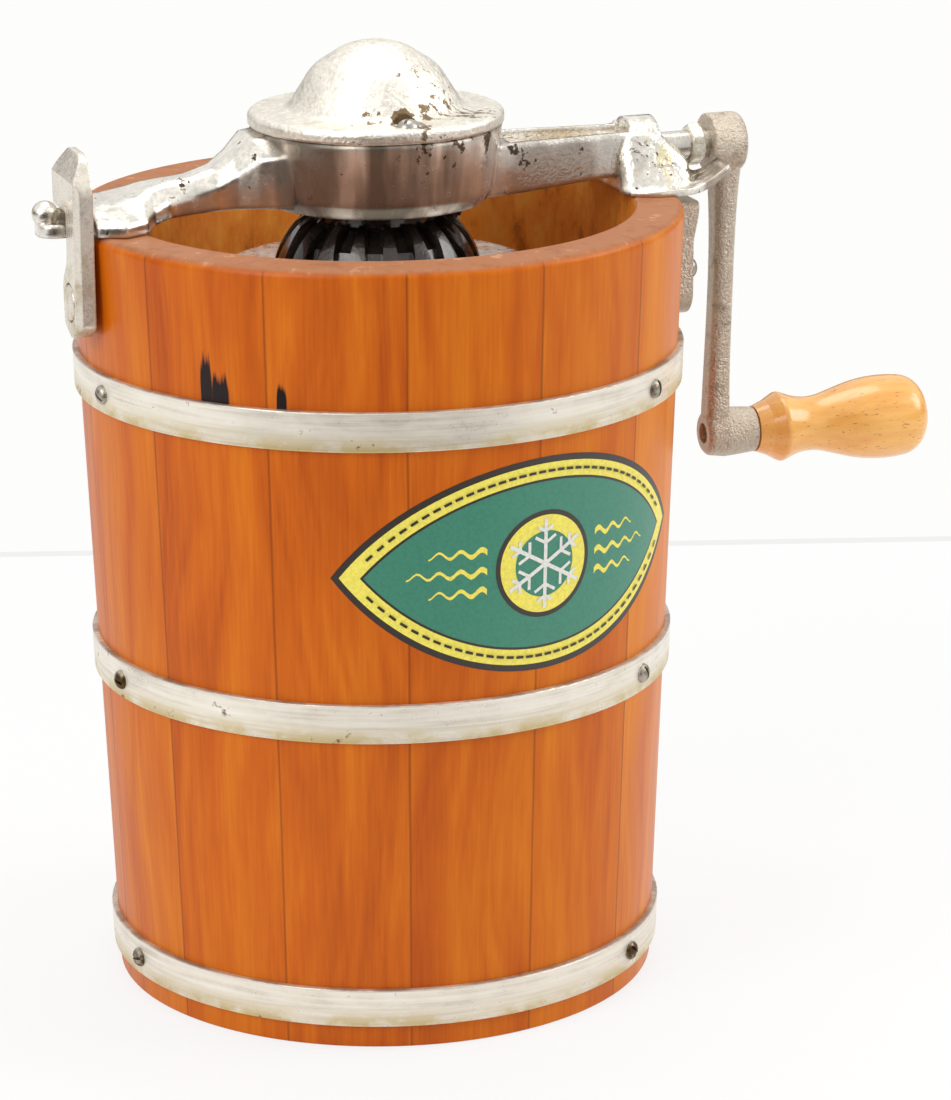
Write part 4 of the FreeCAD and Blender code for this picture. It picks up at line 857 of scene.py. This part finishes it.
inks = {name: label_ink(name, tint) for name, tint in LABEL_INKS.items()}
flat_label = label_sheet(inks.values())
sheet_count = len(flat_label.vertices)
bead_places = bead_line(BEAD_INSET, BEAD_COUNT)
flat_label.vertices.add(len(bead_places))
flat_label.attributes.new("is_bead", "BOOLEAN", "POINT")
flat_label.attributes.new("lean", "FLOAT", "POINT")
for index, (point, lean) in enumerate(bead_places):
    flat_label.vertices[sheet_count + index].co = point
    flat_label.attributes["is_bead"].data[sheet_count + index].value = True
    flat_label.attributes["lean"].data[sheet_count + index].value = lean
label = grown("label", flat_label, label_tree(inks["label_cream"], inks["label_dark"]),
              {"tub_radius": tub_radius_at(LABEL_HEIGHT)}, "tub")


# Ear bracket and its screws: a grey iron casting, rough from the sand, screwed to the tub under the
# frame's turned-up lip at the crank's side.

rough_casting = plated_finish("rough_casting", (0.68, 0.59, 0.48), (0.26, 0.20, 0.15), (0.30, 0.48),
                              grain=1100.0, depth=0.0011, patches=(0.55, 0.7), undulation=0.0008)
rough_casting.paint("ear_bracket")
screw_steel.paint("ear_screws")


# Latch: a flat plated lever on one screw, whose head swings over the frame's tongue and keeps that
# end of the frame down. Its plating has gone yellow low down.

LATCH_YELLOWED = (((-0.104, -0.012, 0.234), 0.022, 0.14),)
latch_nickel = plated_finish("latch_nickel", (0.86, 0.79, 0.69), (0.46, 0.36, 0.19), (0.2, 0.4),
                             grain=700.0, depth=0.00006, patches=(0.60, 0.78), undulation=0.0008,
                             worn_places=LATCH_YELLOWED, edge=0.0009, metallic=0.55)
latch_nickel.paint("latch_lever")
latch_nickel.paint("latch_screw")


# Can, lid and dasher: tinned sheet for the can and its lid, a tinned casting for the dasher, and
# beech blades that scrape the can's wall.

BEECH_PALE = (0.98, 0.52, 0.130)
BEECH_GOLD = (0.84, 0.36, 0.065)

tinned_steel = plated_finish("tinned_steel", (0.76, 0.75, 0.72), (0.42, 0.38, 0.3), (0.22, 0.4),
                             grain=500.0, depth=0.00002, patches=(0.6, 0.8))
for part in ("can", "can_lid", "dasher_frame"):
    tinned_steel.paint(part)
scraper_wood = Finish("scraper_wood", Roughness=0.6)
scraper_grain = scraper_wood.grain((600, 600, 20))
scraper_wood.colour(scraper_wood.ramp(scraper_grain, [(0.3, BEECH_GOLD), (0.7, BEECH_PALE)]))
for part in ("scraper_left", "scraper_right"):
    scraper_wood.paint(part)


# Gears: cast iron bevel wheels and their pinion, black with old grease. One wheel turns the can
# and the other the dasher, in opposite ways.

greased_iron = plated_finish("greased_iron", (0.050, 0.036, 0.028), (0.012, 0.009, 0.008),
                             (0.14, 0.3), grain=800.0, depth=0.00016, patches=(0.45, 0.6),
                             metallic=0.5)
greased_iron.shader.inputs["Coat Weight"].default_value = 0.7
greased_iron.shader.inputs["Coat Roughness"].default_value = 0.08
for gear in ("can_drive_gear", "dasher_drive_gear", "pinion", "pinion_pin", "step_bearing"):
    greased_iron.paint(gear)
screw_steel.paint("step_bearing_screws")


# Gear frame: one iron casting right across the tub, ground, polished and nickel plated, but left
# beaten by the crank. The plating has flaked under the cover, and the arms' near sides and the
# housing's ring carry painted reflections.

# chipped places: point, reach and weight. The last two are the corroded trough
FRAME_WORN = (
    ((0.004, -0.041, 0.2850), 0.007, 0.17), ((0.016, -0.038, 0.2850), 0.008, 0.18),
    ((0.028, -0.030, 0.2845), 0.007, 0.18), ((0.043, -0.013, 0.2755), 0.006, 0.14),
    ((0.049, -0.013, 0.2710), 0.005, 0.10), ((-0.066, -0.006, 0.2715), 0.004, 0.10),
    ((0.050, 0.004, 0.2660), 0.016, 0.14), ((0.066, 0.004, 0.2660), 0.014, 0.12),
)
# where the arms' near sides carry a painted dark reflection: point, reach and how far
FRAME_PAINTED_REFLECTION = (
    ((0.050, -0.0125, 0.267), 0.016, 0.65), ((0.064, -0.0115, 0.268), 0.014, 0.65),
    ((0.078, -0.012, 0.268), 0.012, 0.4), ((-0.032, -0.026, 0.272), 0.019, 0.75),
    ((-0.020, -0.036, 0.268), 0.012, 0.5), ((-0.048, -0.016, 0.265), 0.012, 0.6),
    ((-0.062, -0.014, 0.263), 0.010, 0.45),
)
FRAME_IRON = (0.085, 0.055, 0.035)
FRAME_REFLECTION_GREY = (0.20, 0.17, 0.14)
# the housing's ring ends at a radius, and the lip and the painted highlight's fade to the crank lie
# along X; the ring's tones are painted reflections
RING_EDGE = (0.0418, 0.0435)
RING_REFLECTION_TONES = ((0.40, (0.19, 0.165, 0.130)), (0.50, (0.42, 0.365, 0.30)), (0.58, (0.80, 0.73, 0.64)))
RING_REFLECTION_BANDS = (75, 75, 8)
RING_HIGHLIGHT = (0.84, 0.79, 0.72)
RING_HIGHLIGHT_FADE = (0.006, 0.030, 0.0, 0.6)
DULL_METALLIC = 0.62
LIP_EDGE = (0.1045, 0.1060)
LIP_GREY = (0.46, 0.39, 0.33)
# point, reach, and the share of the reach over which it is full
SADDLE = ((0.096, -0.008, 0.266), 0.0185, 0.5)
SADDLE_GLINT_GOLD = (0.88, 0.76, 0.42)
TROUGH = ((0.060, 0.004, 0.270), 0.026, 0.7)
TROUGH_STAIN = ((0.066, 0.004, 0.268), 0.016)
TROUGH_BROWN = (0.40, 0.27, 0.08)

frame_nickel = plated_finish("frame_nickel", (0.92, 0.87, 0.79), FRAME_IRON, (0.14, 0.3),
                             grain=420.0, depth=0.00005, patches=(0.645, 0.68), undulation=0.0006,
                             worn_places=FRAME_WORN, speckle=260.0, edge=0.0022)
saddle = frame_nickel.near(*SADDLE)
hammered = frame_nickel.grain(130, 3.0, 0.55, 0.4)
beaten = frame_nickel.grain(420, 2.0, 0.5)
coarse = frame_nickel.grain(700, 3.0, 0.6)
trough = frame_nickel.near(*TROUGH)
for pattern, place, depth in ((hammered, saddle, 0.0014), (beaten, saddle, 0.0006),
                              (coarse, trough, 0.0003)):
    frame_nickel.relief(frame_nickel.sum("MULTIPLY", pattern, place), depth)

# housing's ring: painted reflections, dull and brown in upright bands, with a painted highlight
# brighter to the crank
along_tub = frame_nickel.axes(frame_nickel.place)[0]
ring = frame_nickel.spread(frame_nickel.from_axis(), *RING_EDGE, 1.0, 0.0)
ring_painted_reflection = frame_nickel.ramp(frame_nickel.grain(RING_REFLECTION_BANDS, shift=(0.3, 0, 0)), RING_REFLECTION_TONES)
highlight_to_crank = frame_nickel.spread(along_tub, *RING_HIGHLIGHT_FADE)
ring_painted_reflection = frame_nickel.blend(highlight_to_crank, ring_painted_reflection, RING_HIGHLIGHT)
frame_tone = frame_nickel.blend(ring, frame_nickel.tone, ring_painted_reflection)
# painted reflection: the arms' near sides are greyed as if they mirrored darker surroundings
painted_reflection = None
for point, reach, weight in FRAME_PAINTED_REFLECTION:
    share = frame_nickel.sum("MULTIPLY", frame_nickel.near(point, reach, 0.5), weight)
    painted_reflection = share if painted_reflection is None else frame_nickel.sum("MAXIMUM", painted_reflection, share)
# painted glints: gold on the peaks of the saddle's hammered skin
gold_glints = frame_nickel.sum("MULTIPLY", saddle, frame_nickel.spread(hammered, 0.5, 0.6, 0.0, 0.6))
stain = frame_nickel.sum("MULTIPLY", frame_nickel.near(*TROUGH_STAIN), 0.7)

# the turned-up lip is smooth and grey, the saddle beside it has painted gold glints on its hammered
# peaks
for share, tone in (
        (painted_reflection, FRAME_REFLECTION_GREY), (frame_nickel.spread(along_tub, *LIP_EDGE), LIP_GREY),
        (gold_glints, SADDLE_GLINT_GOLD), (stain, TROUGH_BROWN), (frame_nickel.flaked, FRAME_IRON)):
    frame_tone = frame_nickel.blend(share, frame_tone, tone)
frame_nickel.colour(frame_tone)
dull_share = frame_nickel.sum("MAXIMUM", ring, painted_reflection)
frame_nickel.feed("Metallic", frame_nickel.spread(dull_share, 0.0, 1.0, 1.0, DULL_METALLIC))
frame_nickel.paint("gear_frame")


# Gear cover: a domed casting with a satin warm nickel skin, pitted all over, held by two screws
# that sit in round pockets. Its top is left bare.

# pitted places: point, reach and weight. The last is the near screw's pocket
COVER_WORN = (
    ((0.002, -0.036, 0.2900), 0.006, 0.18), ((0.009, -0.027, 0.2925), 0.006, 0.16),
    ((0.018, -0.024, 0.2930), 0.012, 0.13), ((0.030, -0.022, 0.2895), 0.012, 0.12),
    ((-0.012, -0.029, 0.2920), 0.007, 0.13), ((0.012, -0.018, 0.3030), 0.012, 0.09),
    ((0.004, -0.041, 0.2890), 0.010, 0.10), ((0.0, -0.0300, 0.2920), 0.0052, 0.60),
)
cover_nickel = plated_finish("cover_nickel", (0.92, 0.87, 0.77), (0.20, 0.135, 0.075), (0.32, 0.50),
                             grain=800.0, depth=0.00036, patches=(0.65, 0.70), undulation=0.0014,
                             worn_places=COVER_WORN, speckle=330.0, edge=0.0008, metallic=0.8)
cover_nickel.paint("gear_cover")
dull_screw = plated_finish("dull_screw", (0.50, 0.47, 0.42), (0.05, 0.035, 0.025), (0.25, 0.45),
                           patches=(0.5, 0.6))
dull_screw.paint("cover_screws")


# Crank: a turned steel shaft with a bright nut on it, a cast iron arm on its end, rough from the
# sand, and a plain steel spindle for the grip.

turned_steel = plated_finish("turned_steel", (0.72, 0.68, 0.62), (0.25, 0.18, 0.1), (0.2, 0.35),
                             grain=900.0, depth=0.00002)
for part in ("crank_shaft", "handle_spindle", "can_pivot"):
    turned_steel.paint(part)
rough_casting.paint("crank_arm")
bright_nut = plated_finish("bright_nut", (0.95, 0.90, 0.76), (0.35, 0.25, 0.09), (0.2, 0.36),
                           grain=500.0, depth=0.00035, patches=(0.56, 0.7), undulation=0.0016,
                           edge=0.0008, metallic=0.5)
bright_nut.paint("crank_nut")


# Grip: beech turned on a lathe, with a clear golden varnish. Short dark flecks run along it.

GRIP_FLECK = (0.38, 0.14, 0.035)

beech = Finish("varnished_beech", Roughness=0.3, Coat_Weight=0.6, Coat_Roughness=0.1)
grip_grain = beech.grain((18, 420, 420))
grip_cloud = beech.grain((25, 90, 90))
fleck = beech.spread(beech.grain((260, 1500, 1500), 1.0), 0.66, 0.74)
grip_value = beech.sum("MULTIPLY_ADD", grip_grain, 0.5, beech.sum("MULTIPLY", grip_cloud, 0.5))
grip_body = beech.ramp(grip_value, [(0.3, BEECH_GOLD), (0.62, BEECH_PALE)])
beech.colour(beech.blend(beech.sum("MULTIPLY", fleck, 0.7), grip_body, GRIP_FLECK))
beech.relief(grip_grain, 0.00004, 0.6)
beech.paint("handle_grip")


scene.view_settings.view_transform = "Standard"
